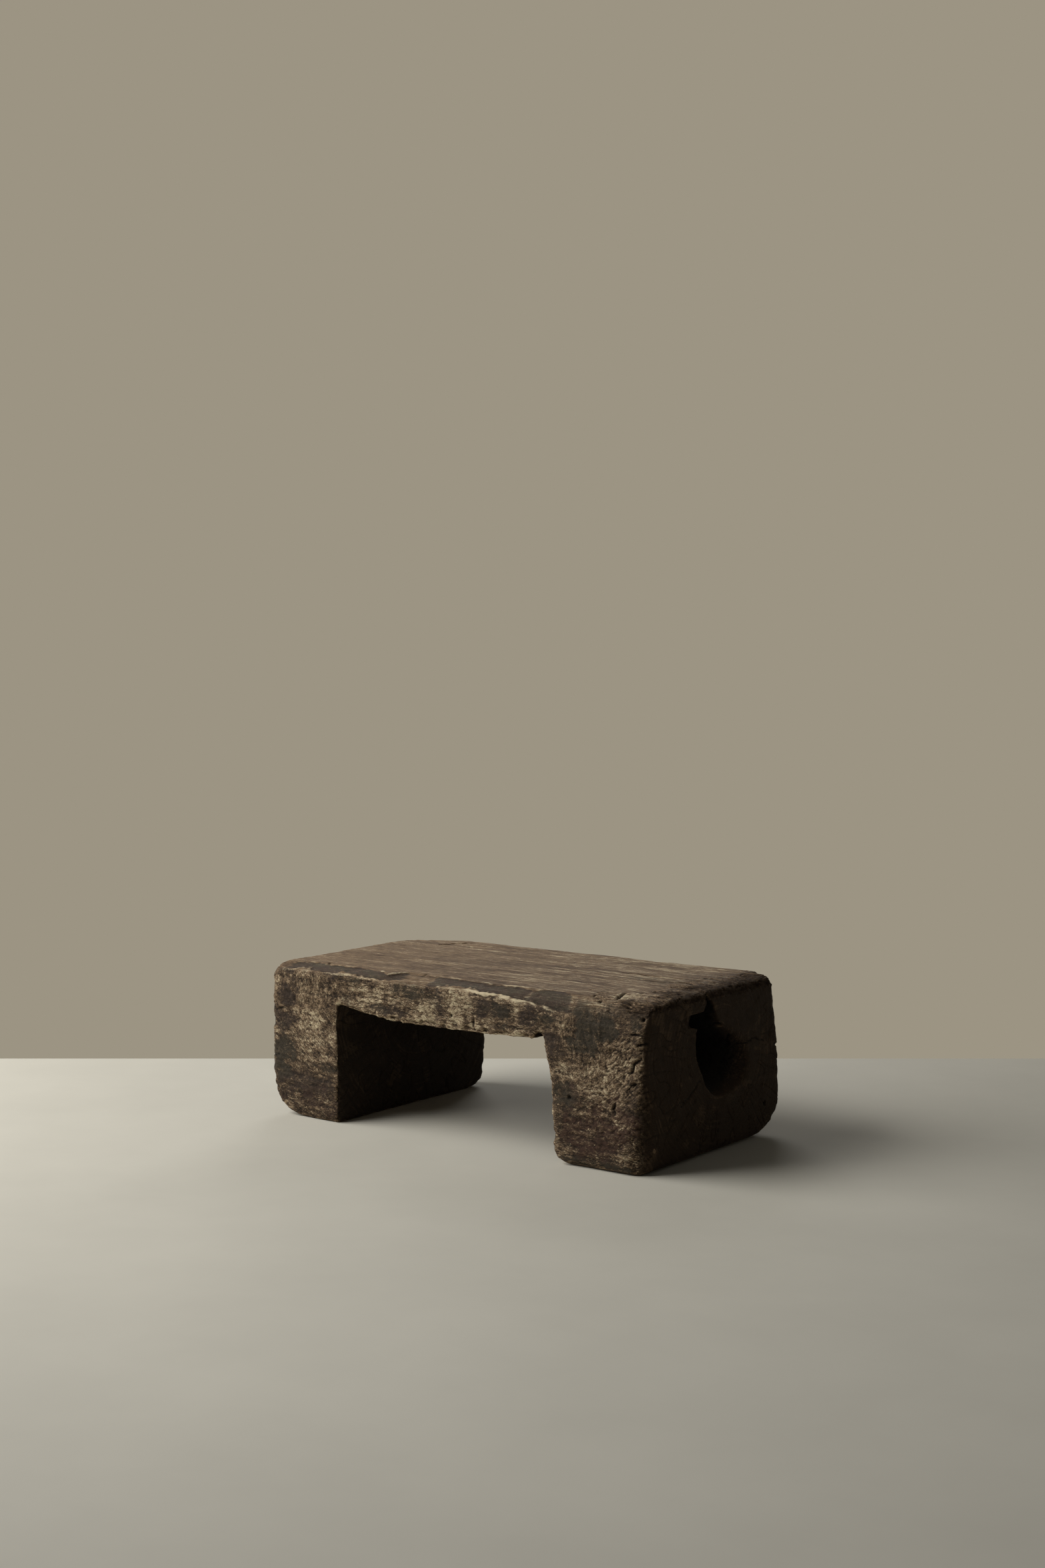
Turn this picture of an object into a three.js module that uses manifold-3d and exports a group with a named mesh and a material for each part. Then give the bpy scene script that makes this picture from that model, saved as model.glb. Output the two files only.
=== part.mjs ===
// Low stool hewn from one log: a thick seat slab between two broad block legs.
// Millimetres, +Z up, grain along X, front towards -Y. The origin is on the floor under the middle.
import * as THREE from 'three';
import { mergeVertices } from 'three/addons/utils/BufferGeometryUtils.js';
import Module from 'manifold-3d';

const wasm = await Module();
wasm.setup();

// The block as it was squared up, and how far its faces swell and draw in
const LENGTH = 746;
const WIDTH = 402;
const HEIGHT = 250;
const SEAT_END_INSET = 7;
const FOOT_END_INSET = 5;
const END_WAIST = 10;
const FRONT_WAIST = 13;
const FRONT_TOP_INSET = 8;
const FRONT_LEFT_INSET = 11;
const BACK_TOP_INSET = 2;
const BACK_WAVE = 9;
const BACK_FOOT_INSET = 7;
const BULGE_HEIGHT = 95;
const LEFT_BULGE_HEIGHT = 158;
const WAIST_HEIGHT = 165;

// How far the edges and corners are rounded
const TOE_ROUND = 78;
const FOOT_ROUND = 17;
const SOLE_ROUND = 16;
const HEEL_ROUND = 52;
const SEAT_END_ROUND = 18;
const SEAT_SIDE_ROUND = 15;
const FACE_ROUND = 60;
const LEFT_CORNER_ROUND = 16;
const RIGHT_CORNER_ROUND = 50;
const BACK_CORNER_ROUND = 20;
const ROUND_STEPS = 6;

// The far left corner of the log, which was never squared
const WANE_ALONG = 118;
const WANE_ACROSS = 78;
const WANE_ROUND = 50;

// Broad facets that the adze left at the back, and a knocked corner
const BACK_LEAN = 15;
const BACK_LEAN_HEIGHT = 130;
const BACK_LEAN_PLACE = 222;
const SHOULDER_DROP = 105;
const SHOULDER_ALONG = 70;
const SHOULDER_ACROSS = 36;
const KNOCK = 22;

// The opening between the legs
const LEFT_LEG = 153;
const RIGHT_LEG = 194;
const RIGHT_LEG_TAPER = 32;
const RIGHT_LEG_HEEL = 13;
const LEFT_LEG_DRAFT = 2;
const LEFT_LEG_UNDERCUT = 9;
const SEAT_THICKNESS = 57;
const SEAT_SAG = 18;
const RIGHT_HEEL_RUN = 85;
const RIGHT_HEEL_RISE = 82;
const RIGHT_HEEL_FULLNESS = 14;

// The front edge of the seat, worn down by use
const WEAR_ACROSS = 36;
const WEAR_DOWN = 26;

// The heart of the log, hollowed into the right end, with its drying shake and a square socket
const HOLLOW_WIDTH = 124;
const HOLLOW_HEIGHT = 150;
const HOLLOW_DEPTH = 125;
const HOLLOW_SIDE = 12;
const HOLLOW_LEVEL = 160;
const SHAKE_WIDTH = 16;
const SHAKE_DEPTH = 62;
const SHAKE_SIDE = -24;
const SHAKE_TOP = 245;
const SOCKET_WIDTH = 52;
const SOCKET_HEIGHT = 27;
const SOCKET_DEPTH = 14;
const SOCKET_LEVEL = 193;

// Small losses: a peg notch under the seat and a split in the back edge
const NOTCH_SIZE = 10;
const NOTCH_DEPTH = 28;
const NOTCH_BITE = 2;
const SPLIT_LENGTH = 46;
const SPLIT_DEPTH = 13;
const SPLIT_WIDTH = 15;
const SPLIT_PLACE = 156;

// Cutters pass this far beyond the face that they cut
const OVERRUN = 20;

const X = new THREE.Vector3(1, 0, 0);
const Y = new THREE.Vector3(0, 1, 0);
const Z = new THREE.Vector3(0, 0, 1);

const END = LENGTH / 2;
const SIDE = WIDTH / 2;
const LEFT_FACE = LEFT_LEG - END;
const RIGHT_FACE = END - RIGHT_LEG;
const UNDERSIDE = HEIGHT - SEAT_THICKNESS;
const NEAR_FACE = FRONT_WAIST - SIDE;

/** A closed solid from the faces of a geometry. */
function solid(geometry) {
  const bare = geometry.clone();
  bare.deleteAttribute('normal');
  bare.deleteAttribute('uv');
  const merged = mergeVertices(bare, 1e-4);
  const mesh = new wasm.Mesh({
    numProp: 3,
    vertProperties: new Float32Array(merged.attributes.position.array),
    triVerts: new Uint32Array(merged.index.array),
  });
  return new wasm.Manifold(mesh);
}

/** The points of a closed outline. Each corner is [across, up, radius], and its radius fits its sides. */
function rounded(corners) {
  const places = corners.map(([across, up]) => new THREE.Vector2(across, up));
  const points = [];
  corners.forEach(([, , radius = 0], i) => {
    const here = places[i];
    const before = places[(i + corners.length - 1) % corners.length];
    const after = places[(i + 1) % corners.length];
    const room = Math.min(here.distanceTo(before), here.distanceTo(after)) / 2;
    const cut = Math.min(radius, room);
    if (cut === 0) {
      points.push(here);
      return;
    }
    const start = here.clone().add(before.clone().sub(here).setLength(cut));
    const end = here.clone().add(after.clone().sub(here).setLength(cut));
    points.push(...new THREE.QuadraticBezierCurve(start, here, end).getPoints(ROUND_STEPS));
  });
  return points;
}

/** An outline drawn in the plane of two axes, made solid along the third, from one place to another. */
function prism(points, across, up, from, to) {
  const along = new THREE.Vector3().crossVectors(across, up);
  const geometry = new THREE.ExtrudeGeometry(new THREE.Shape(points), {
    depth: to - from,
    bevelEnabled: false,
  });
  geometry.translate(0, 0, from);
  geometry.applyMatrix4(new THREE.Matrix4().makeBasis(across, up, along));
  return solid(geometry);
}

/** A solid skinned over rings of as many points each. Seen from its last ring, they run anticlockwise. */
function loft(rings) {
  const count = rings[0].length;
  const points = rings.flat();
  const faces = [];
  for (let ring = 0; ring + 1 < rings.length; ring += 1) {
    for (let i = 0; i < count; i += 1) {
      const a = ring * count + i;
      const b = ring * count + ((i + 1) % count);
      faces.push(a, b, b + count, a, b + count, a + count);
    }
  }
  const last = (rings.length - 1) * count;
  for (let i = 1; i + 1 < count; i += 1) {
    faces.push(0, i + 1, i);
    faces.push(last, last + i, last + i + 1);
  }
  const geometry = new THREE.BufferGeometry().setFromPoints(points);
  geometry.setIndex(faces);
  return solid(geometry);
}

/** The block before the opening is cut: one outline for each of its three views, met in one solid. */
function hewnBlock() {
  const seatEnd = END - SEAT_END_INSET;
  const footEnd = END - FOOT_END_INSET;
  const front = rounded([
    [-footEnd, 0, TOE_ROUND],
    [footEnd, 0, FOOT_ROUND],
    [END, BULGE_HEIGHT, FACE_ROUND],
    [END - END_WAIST, WAIST_HEIGHT, FACE_ROUND],
    [END, HEIGHT, SEAT_END_ROUND],
    [-seatEnd, HEIGHT, SEAT_END_ROUND],
    [-END, LEFT_BULGE_HEIGHT, FACE_ROUND],
  ]);
  const end = rounded([
    [-SIDE, 0, SOLE_ROUND],
    [NEAR_FACE, WAIST_HEIGHT, FACE_ROUND],
    [FRONT_TOP_INSET - SIDE, HEIGHT, SEAT_SIDE_ROUND],
    [SIDE - BACK_TOP_INSET, HEIGHT, SEAT_SIDE_ROUND],
    [SIDE, BULGE_HEIGHT, FACE_ROUND],
    [SIDE - BACK_FOOT_INSET, 0, HEEL_ROUND],
  ]);
  const plan = rounded([
    [-END, FRONT_LEFT_INSET - SIDE, LEFT_CORNER_ROUND],
    [END * 0.4, -SIDE, FACE_ROUND],
    [END, -SIDE, RIGHT_CORNER_ROUND],
    [END, SIDE - BACK_FOOT_INSET, BACK_CORNER_ROUND],
    [END * 0.5, SIDE, FACE_ROUND],
    [-END * 0.3, SIDE - BACK_WAVE, FACE_ROUND],
    [WANE_ALONG - END, SIDE, WANE_ROUND],
    [-END, SIDE - WANE_ACROSS, WANE_ROUND],
  ]);
  const alongWidth = prism(front, X, Z, -SIDE, SIDE);
  const alongLength = prism(end, Y, Z, -END, END);
  const alongHeight = prism(plan, X, Y, 0, HEIGHT);
  return alongWidth.intersect(alongLength).intersect(alongHeight);
}

/** The space under the seat: the left leg is undercut, the slab sags, and the right leg tapers down. */
function legOpening() {
  const span = RIGHT_FACE - LEFT_FACE;
  const roof = (along, sag) => [LEFT_FACE + span * along, UNDERSIDE - SEAT_SAG * sag];
  const rightFoot = RIGHT_FACE + RIGHT_LEG_TAPER;
  const profile = rounded([
    [LEFT_FACE - LEFT_LEG_DRAFT, -OVERRUN],
    [LEFT_FACE - LEFT_LEG_DRAFT / 4, HEIGHT * 0.4, FACE_ROUND],
    [LEFT_FACE - LEFT_LEG_UNDERCUT, HEIGHT * 0.64, FACE_ROUND],
    [LEFT_FACE - LEFT_LEG_UNDERCUT / 2, UNDERSIDE],
    roof(0.09, 0.55),
    roof(0.26, 0.9),
    roof(0.73, 1),
    roof(0.9, 0.76),
    roof(1, 0.7),
    [RIGHT_FACE + RIGHT_LEG_TAPER * 0.42, HEIGHT * 0.56, FACE_ROUND],
    [rightFoot, RIGHT_LEG_HEEL, RIGHT_LEG_HEEL],
    [rightFoot + RIGHT_LEG_HEEL * 1.5, 0],
    [rightFoot + RIGHT_LEG_HEEL * 1.5, -OVERRUN],
  ]);
  return prism(profile, X, Z, -SIDE - OVERRUN, SIDE + OVERRUN);
}

/** What the right foot has lost behind, where its sole curves up into its back. */
function wornHeel() {
  const start = new THREE.Vector2(SIDE - RIGHT_HEEL_RUN, 0);
  const control = new THREE.Vector2(SIDE - RIGHT_HEEL_FULLNESS, RIGHT_HEEL_FULLNESS / 2);
  const end = new THREE.Vector2(SIDE, RIGHT_HEEL_RISE);
  const profile = [
    new THREE.Vector2(start.x, -OVERRUN),
    new THREE.Vector2(SIDE + OVERRUN, -OVERRUN),
    new THREE.Vector2(SIDE + OVERRUN, RIGHT_HEEL_RISE),
    ...new THREE.QuadraticBezierCurve(end, control, start).getPoints(ROUND_STEPS),
  ];
  return prism(profile, Y, Z, RIGHT_FACE, END + OVERRUN);
}

/** What use has worn off the front edge of the seat: a broad flat bevel that turns round to the right. */
function wornEdge() {
  const stations = [
    [-1.05, 0.7, 0.3, 0.5], [-0.8, 1, 0.32, 0.2], [-0.6, 0.86, 0.2, 0.2], [-0.36, 0.34, 0.4, 0.2],
    [-0.27, 1.2, 0.35, 0.2], [0.04, 0.95, 0.28, 0.2], [0.24, 0.83, 0.35, 0.2], [0.4, 0.72, 0.64, 0.3],
    [0.57, 0.66, 0.98, 0.5], [0.8, 0.8, 1.3, 0.9], [1.05, 1, 1.8, 1],
  ];
  const rings = stations.map(([along, across, down, roundness]) => {
    const x = END * along;
    const low = new THREE.Vector3(x, NEAR_FACE, HEIGHT - WEAR_DOWN * down);
    const high = new THREE.Vector3(x, NEAR_FACE + WEAR_ACROSS * across, HEIGHT);
    const corner = new THREE.Vector3(x, NEAR_FACE, HEIGHT);
    const control = low.clone().lerp(high, 0.5).lerp(corner, roundness);
    return [
      high.clone().add(new THREE.Vector3(0, OVERRUN, OVERRUN)),
      new THREE.Vector3(x, NEAR_FACE - OVERRUN, HEIGHT + OVERRUN),
      low.clone().add(new THREE.Vector3(0, -OVERRUN, -OVERRUN / 2)),
      ...new THREE.QuadraticBezierCurve3(low, control, high).getPoints(ROUND_STEPS - 2),
    ];
  });
  return loft(rings);
}

/** All that lies outside the plane through three points, which run anticlockwise seen from outside. */
function beyond(a, b, c) {
  const across = b.clone().sub(a).normalize();
  const outward = b.clone().sub(a).cross(c.clone().sub(a)).normalize();
  const up = outward.clone().cross(across);
  const window = [[-1, -1], [1, -1], [1, 1], [-1, 1]].map(
    ([i, j]) => new THREE.Vector2(2 * LENGTH * i, 2 * LENGTH * j),
  );
  return prism(window, across, up, outward.dot(a), outward.dot(a) + LENGTH);
}

/** The facet down the back of the left leg, which leans in to its sole. */
function leaningBack() {
  const place = -BACK_LEAN_PLACE;
  const slope = BACK_LEAN / BACK_LEAN_HEIGHT;
  return beyond(
    new THREE.Vector3(place, SIDE - BACK_TOP_INSET, BACK_LEAN_HEIGHT),
    new THREE.Vector3(-place, SIDE + BACK_LEAN, BACK_LEAN_HEIGHT),
    new THREE.Vector3(place, SIDE - BACK_TOP_INSET - slope * BACK_LEAN_HEIGHT, 0),
  );
}

/** The facet off the far top corner over the right leg. */
function fallenShoulder() {
  return beyond(
    new THREE.Vector3(END - SHOULDER_ALONG, SIDE, HEIGHT),
    new THREE.Vector3(END - END_WAIST, SIDE - SHOULDER_ACROSS, HEIGHT),
    new THREE.Vector3(END - END_WAIST, SIDE - BACK_FOOT_INSET, HEIGHT - SHOULDER_DROP),
  );
}

/** The knocked near corner over the left leg. */
function knockedCorner() {
  return beyond(
    new THREE.Vector3(-END, NEAR_FACE, HEIGHT - KNOCK),
    new THREE.Vector3(KNOCK - END, NEAR_FACE, HEIGHT),
    new THREE.Vector3(-END, NEAR_FACE + KNOCK, HEIGHT),
  );
}

/** The blind hollow in the heart of the right end. Its mouth is egg-shaped and scooped out on the far side. */
function heartHollow() {
  const mouth = [
    [-0.97, 0.42], [-0.97, 0.1], [-0.8, -0.42], [-0.5, -0.86], [0.08, -1], [0.7, -0.84],
    [1, -0.43], [0.94, -0.08], [0.5, 0.2], [0.08, 0.44], [-0.2, 0.72], [-0.44, 1], [-0.72, 0.8],
  ].map(([across, up]) => new THREE.Vector3(0, (across * HOLLOW_WIDTH) / 2, (up * HOLLOW_HEIGHT) / 2));
  const outline = new THREE.CatmullRomCurve3(mouth, true).getPoints(3 * mouth.length).slice(0, -1);
  const stages = [
    [-1, 0.3, 0], [-0.86, 0.5, 0], [-0.5, 0.76, 0], [-0.26, 0.88, 0], [-0.1, 0.96, 0.1],
    [0, 1, 0.3], [0.2, 1, 0.9],
  ];
  const rings = stages.map(([inward, size, scoop]) => outline.map((point) => new THREE.Vector3(
    END - END_WAIST + HOLLOW_DEPTH * inward,
    HOLLOW_SIDE + point.y * size + Math.max(point.y, 0) * scoop,
    HOLLOW_LEVEL + point.z * size,
  )));
  return loft(rings);
}

/** The drying shake, a wedge that opens from the top of the hollow towards the seat. */
function dryingShake() {
  const foot = HOLLOW_LEVEL + HOLLOW_HEIGHT * 0.2;
  const profile = [
    new THREE.Vector2(SHAKE_SIDE + SHAKE_WIDTH, foot),
    new THREE.Vector2(SHAKE_SIDE + SHAKE_WIDTH * 0.1, SHAKE_TOP),
    new THREE.Vector2(SHAKE_SIDE - SHAKE_WIDTH * 0.15, SHAKE_TOP),
    new THREE.Vector2(SHAKE_SIDE - SHAKE_WIDTH / 2, foot),
  ];
  return prism(profile, Y, Z, END - SHAKE_DEPTH, END + OVERRUN);
}

/** The shallow square socket beside the hollow, which opens into the shake. */
function squareSocket() {
  const inner = SHAKE_SIDE;
  const outer = inner - SOCKET_WIDTH;
  const top = SOCKET_LEVEL + SOCKET_HEIGHT;
  const profile = [
    new THREE.Vector2(outer, SOCKET_LEVEL + SOCKET_HEIGHT * 0.3),
    new THREE.Vector2(inner, SOCKET_LEVEL),
    new THREE.Vector2(inner, top),
    new THREE.Vector2(outer, top),
  ];
  return prism(profile, Y, Z, END - END_WAIST - SOCKET_DEPTH, END + OVERRUN);
}

/** The peg notch in the front edge of the seat, against the right leg. */
function pegNotch() {
  const top = UNDERSIDE - SEAT_SAG * 0.2;
  const profile = [
    new THREE.Vector2(RIGHT_FACE - NOTCH_SIZE, top - 2 * NOTCH_SIZE),
    new THREE.Vector2(RIGHT_FACE + NOTCH_BITE, top - 2 * NOTCH_SIZE),
    new THREE.Vector2(RIGHT_FACE + NOTCH_BITE, top),
    new THREE.Vector2(RIGHT_FACE - NOTCH_SIZE, top),
  ];
  const inner = -NEAR_FACE - NOTCH_DEPTH;
  return prism(profile, X, Z, inner, SIDE + OVERRUN);
}

/** The sliver that has split off the back edge of the seat. */
function backSplit() {
  const profile = [
    new THREE.Vector2(SPLIT_PLACE - SPLIT_LENGTH, SIDE),
    new THREE.Vector2(SPLIT_PLACE - SPLIT_WIDTH / 4, SIDE - SPLIT_WIDTH),
    new THREE.Vector2(SPLIT_PLACE, SIDE),
    new THREE.Vector2(SPLIT_PLACE, SIDE + OVERRUN),
    new THREE.Vector2(SPLIT_PLACE - SPLIT_LENGTH, SIDE + OVERRUN),
  ];
  return prism(profile, X, Y, HEIGHT - SPLIT_DEPTH, HEIGHT + OVERRUN);
}

/** The slice of a solid between two places along the grain. */
function slice(whole, from, to) {
  const reach = 2 * Math.max(WIDTH, HEIGHT);
  const window = [
    new THREE.Vector2(from, -reach),
    new THREE.Vector2(to, -reach),
    new THREE.Vector2(to, reach),
    new THREE.Vector2(from, reach),
  ];
  return whole.intersect(prism(window, X, Y, -OVERRUN, HEIGHT + OVERRUN));
}

/** A named piece of the scene, in its own wood. */
function piece(name, shape, colour, roughness) {
  const { numProp, vertProperties, triVerts } = shape.getMesh();
  const geometry = new THREE.BufferGeometry();
  geometry.setAttribute('position', new THREE.BufferAttribute(new Float32Array(vertProperties), numProp));
  geometry.setIndex(new THREE.BufferAttribute(new Uint32Array(triVerts), 1));
  geometry.computeVertexNormals();
  const wood = new THREE.MeshStandardMaterial({ color: colour, roughness, metalness: 0 });
  const mesh = new THREE.Mesh(geometry, wood);
  mesh.name = name;
  return mesh;
}

const cutters = [
  legOpening(), wornHeel(), leaningBack(), fallenShoulder(), knockedCorner(), wornEdge(),
  heartHollow(), dryingShake(), squareSocket(), pegNotch(), backSplit(),
];
const timber = cutters.reduce((left, cutter) => left.subtract(cutter), hewnBlock());

const stool = new THREE.Group();
stool.add(
  piece('left_leg', slice(timber, -END - OVERRUN, LEFT_FACE), 0x7c6650, 0.86),
  piece('seat', slice(timber, LEFT_FACE, RIGHT_FACE), 0x8f7d68, 0.78),
  piece('right_leg', slice(timber, RIGHT_FACE, END + OVERRUN), 0x6c5845, 0.9),
);

export default stool;
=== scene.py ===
"""A low stool hewn from one old hardwood timber, dressed for the camera.

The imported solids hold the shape. Copies of them are fused to one timber, remeshed to one even skin and
worn with numpy, so that grain, splits and stains run over all of it unbroken. The worn timber is parted
again just beside the two planes where the solids meet. Numpy works here in millimetres, Blender in metres.
"""

from __future__ import annotations

import itertools
import logging
import math
from dataclasses import dataclass, field
from enum import Enum

import bmesh
import bpy
import numpy as np
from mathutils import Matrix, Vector


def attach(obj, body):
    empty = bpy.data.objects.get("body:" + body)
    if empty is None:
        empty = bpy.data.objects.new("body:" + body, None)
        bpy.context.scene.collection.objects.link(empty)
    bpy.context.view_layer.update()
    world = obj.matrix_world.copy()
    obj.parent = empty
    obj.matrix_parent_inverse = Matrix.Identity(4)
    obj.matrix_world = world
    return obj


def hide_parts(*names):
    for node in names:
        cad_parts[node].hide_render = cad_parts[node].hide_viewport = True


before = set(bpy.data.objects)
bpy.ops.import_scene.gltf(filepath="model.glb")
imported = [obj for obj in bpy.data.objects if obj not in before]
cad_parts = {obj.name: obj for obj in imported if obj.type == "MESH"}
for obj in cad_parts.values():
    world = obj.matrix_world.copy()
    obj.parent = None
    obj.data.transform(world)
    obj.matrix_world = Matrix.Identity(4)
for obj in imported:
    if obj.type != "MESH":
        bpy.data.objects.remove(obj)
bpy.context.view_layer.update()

LOG = logging.getLogger("low_stool")
MM = 0.001
ROOT_BODY = "root"
# A Map Range node with this setting goes smoothly between its ends, as ease does.
EASED = {"interpolation_type": "SMOOTHSTEP"}

Numbers = np.ndarray
Point2 = tuple[float, float]
Point3 = tuple[float, float, float]
Socket = bpy.types.NodeSocket


def linear(code: str) -> tuple[float, float, float, float]:
    """Turns an sRGB hex colour into linear light.

    Args:
        code: six hex digits, two for each of red, green and blue.

    Returns:
        Red, green, blue and an alpha of 1, as a shader socket takes them.
    """
    shares = [int(code[i:i + 2], 16) / 255 for i in (0, 2, 4)]
    lit = [s / 12.92 if s <= 0.04045 else ((s + 0.055) / 1.055) ** 2.4 for s in shares]
    return (*lit, 1.0)


def ease(low: float, high: float, values: Numbers) -> Numbers:
    """Goes smoothly from 0 at low to 1 at high: three squares less two cubes of the share between them."""
    share = np.clip((values - low) / (high - low), 0.0, 1.0)
    return share * share * (3.0 - 2.0 * share)


def broken_line(points: tuple[Point2, ...], along: Numbers) -> Numbers:
    """Reads the height of a line through given points, straight between two of them."""
    xs, ys = zip(*points)
    return np.interp(along, xs, ys)


def within(flat: Numbers, at: Point2, half: Point2) -> Numbers:
    """Tells which places lie in an upright rectangle, given by its centre and half sizes."""
    return (np.abs(flat - np.asarray(at)) < half).all(axis=1)


def ellipse_reach(flat: Numbers, at: Point2, size: Point2, tilt: float) -> Numbers:
    """Gives each place's distance from an ellipse's centre as a share of its half sizes.

    Args:
        flat: places on a side's two axes.
        at: the ellipse's centre.
        size: its half width and half height before it is turned.
        tilt: how far it is turned, in degrees.

    Returns:
        0 at the centre, 1 on the ellipse and more outside.
    """
    offset = flat - np.asarray(at)
    angle = math.radians(tilt)
    across = offset[:, 0] * math.cos(angle) + offset[:, 1] * math.sin(angle)
    rise = offset[:, 1] * math.cos(angle) - offset[:, 0] * math.sin(angle)
    return np.hypot(across / size[0], rise / size[1])


def line_reach(flat: Numbers, path: tuple[Point2, ...]) -> tuple[Numbers, Numbers]:
    """Gives each place's distance to a line of straight runs, and how far along the line its foot lies.

    Args:
        flat: places on a side's two axes.
        path: the line's points.

    Returns:
        The distances in millimetres, and the shares of the line's length from 0 to 1.
    """
    nodes = np.asarray(path, float)
    runs = np.diff(nodes, axis=0)
    lengths = np.linalg.norm(runs, axis=1)
    starts = np.concatenate(([0.0], np.cumsum(lengths)))
    best = np.full(len(flat), np.inf)
    share = np.zeros(len(flat))
    for start, run, origin, length in zip(nodes, runs, starts, lengths):
        along = np.clip(((flat - start) @ run) / length ** 2, 0.0, 1.0)
        away = np.linalg.norm(flat - start - along[:, None] * run, axis=1)
        share = np.where(away < best, (origin + along * length) / starts[-1], share)
        best = np.minimum(best, away)
    return best, share


def turned(points: Numbers, degrees: float) -> Numbers:
    """Turns places about Y.

    Args:
        points: places, one row each.
        degrees: the slope of the new first axis.

    Returns:
        Their places along that axis, along Y, and along the third axis.
    """
    angle = math.radians(degrees)
    along = points[:, 0] * math.cos(angle) + points[:, 2] * math.sin(angle)
    across = points[:, 2] * math.cos(angle) - points[:, 0] * math.sin(angle)
    return np.column_stack((along, points[:, 1], across))


def read(items: bpy.types.bpy_prop_collection, name: str, width: int = 1, kind: type = np.float32) -> Numbers:
    """Reads one property of all of a mesh's items at once.

    Args:
        items: the mesh's vertices, edges, corners, faces or an attribute's data.
        name: the property.
        width: how many numbers each item has.
        kind: the numbers' kind.

    Returns:
        The numbers, with a row for each item where it has more than one.
    """
    flat = np.empty(len(items) * width, kind)
    items.foreach_get(name, flat)
    return flat.reshape(-1, width) if width > 1 else flat


class Lattice:
    """Seeded smooth noise and seeded cells over space."""

    SIZE = 256
    GAIN = 1.9

    def __init__(self, seed: int) -> None:
        """Draws the shuffled order, the slopes and the cell centres.

        Args:
            seed: the number that the draws follow from.
        """
        draw = np.random.default_rng(seed)
        self.order = draw.permutation(self.SIZE)
        slopes = draw.normal(size=(self.SIZE, 3))
        self.slopes = slopes / np.linalg.norm(slopes, axis=1)[:, None]
        self.seats = draw.random((self.SIZE, 3))

    def _number(self, corner: Numbers) -> Numbers:
        """Gives each lattice corner its shuffled number.

        Args:
            corner: whole numbers, three to a corner.

        Returns:
            One number a corner, from 0 to the last of the shuffled order.
        """
        last = self.SIZE - 1
        first = self.order[corner[:, 0] & last]
        second = self.order[(first + corner[:, 1]) & last]
        return self.order[(second + corner[:, 2]) & last]

    def smooth(self, points: Numbers, cell: Point3 | float) -> Numbers:
        """Blends the slopes of the eight corners round each point by a fifth-power ease.

        Args:
            points: places in millimetres, one row each.
            cell: the lattice's spacing in millimetres, along each axis or along all three.

        Returns:
            One number a point, from about -1 to 1 with a mean of 0.
        """
        place = points / np.asarray(cell, float)
        base = np.floor(place).astype(np.int64)
        part = place - base
        lean = part ** 3 * (part * (part * 6.0 - 15.0) + 10.0)
        total = np.zeros(len(points))
        for corner in itertools.product((0, 1), repeat=3):
            slope = self.slopes[self._number(base + corner)]
            share = np.prod(np.where(corner, lean, 1.0 - lean), axis=1)
            total += share * ((part - corner) * slope).sum(axis=1)
        return np.clip(total * self.GAIN, -1.0, 1.0)

    def nearest(self, points: Numbers, cell: Point3 | float) -> Numbers:
        """Finds the nearest seeded centre, with one centre to a lattice cell.

        Args:
            points: places in millimetres, one row each.
            cell: the cells' size in millimetres, along each axis or along all three.

        Returns:
            The square of the distance to it, in cells.
        """
        place = points / np.asarray(cell, float)
        base = np.floor(place).astype(np.int64)
        near = np.full(len(points), np.inf)
        for step in itertools.product((-1, 0, 1), repeat=3):
            corner = base + step
            gap = ((corner + self.seats[self._number(corner)] - place) ** 2).sum(axis=1)
            near = np.minimum(near, gap)
        return near


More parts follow.
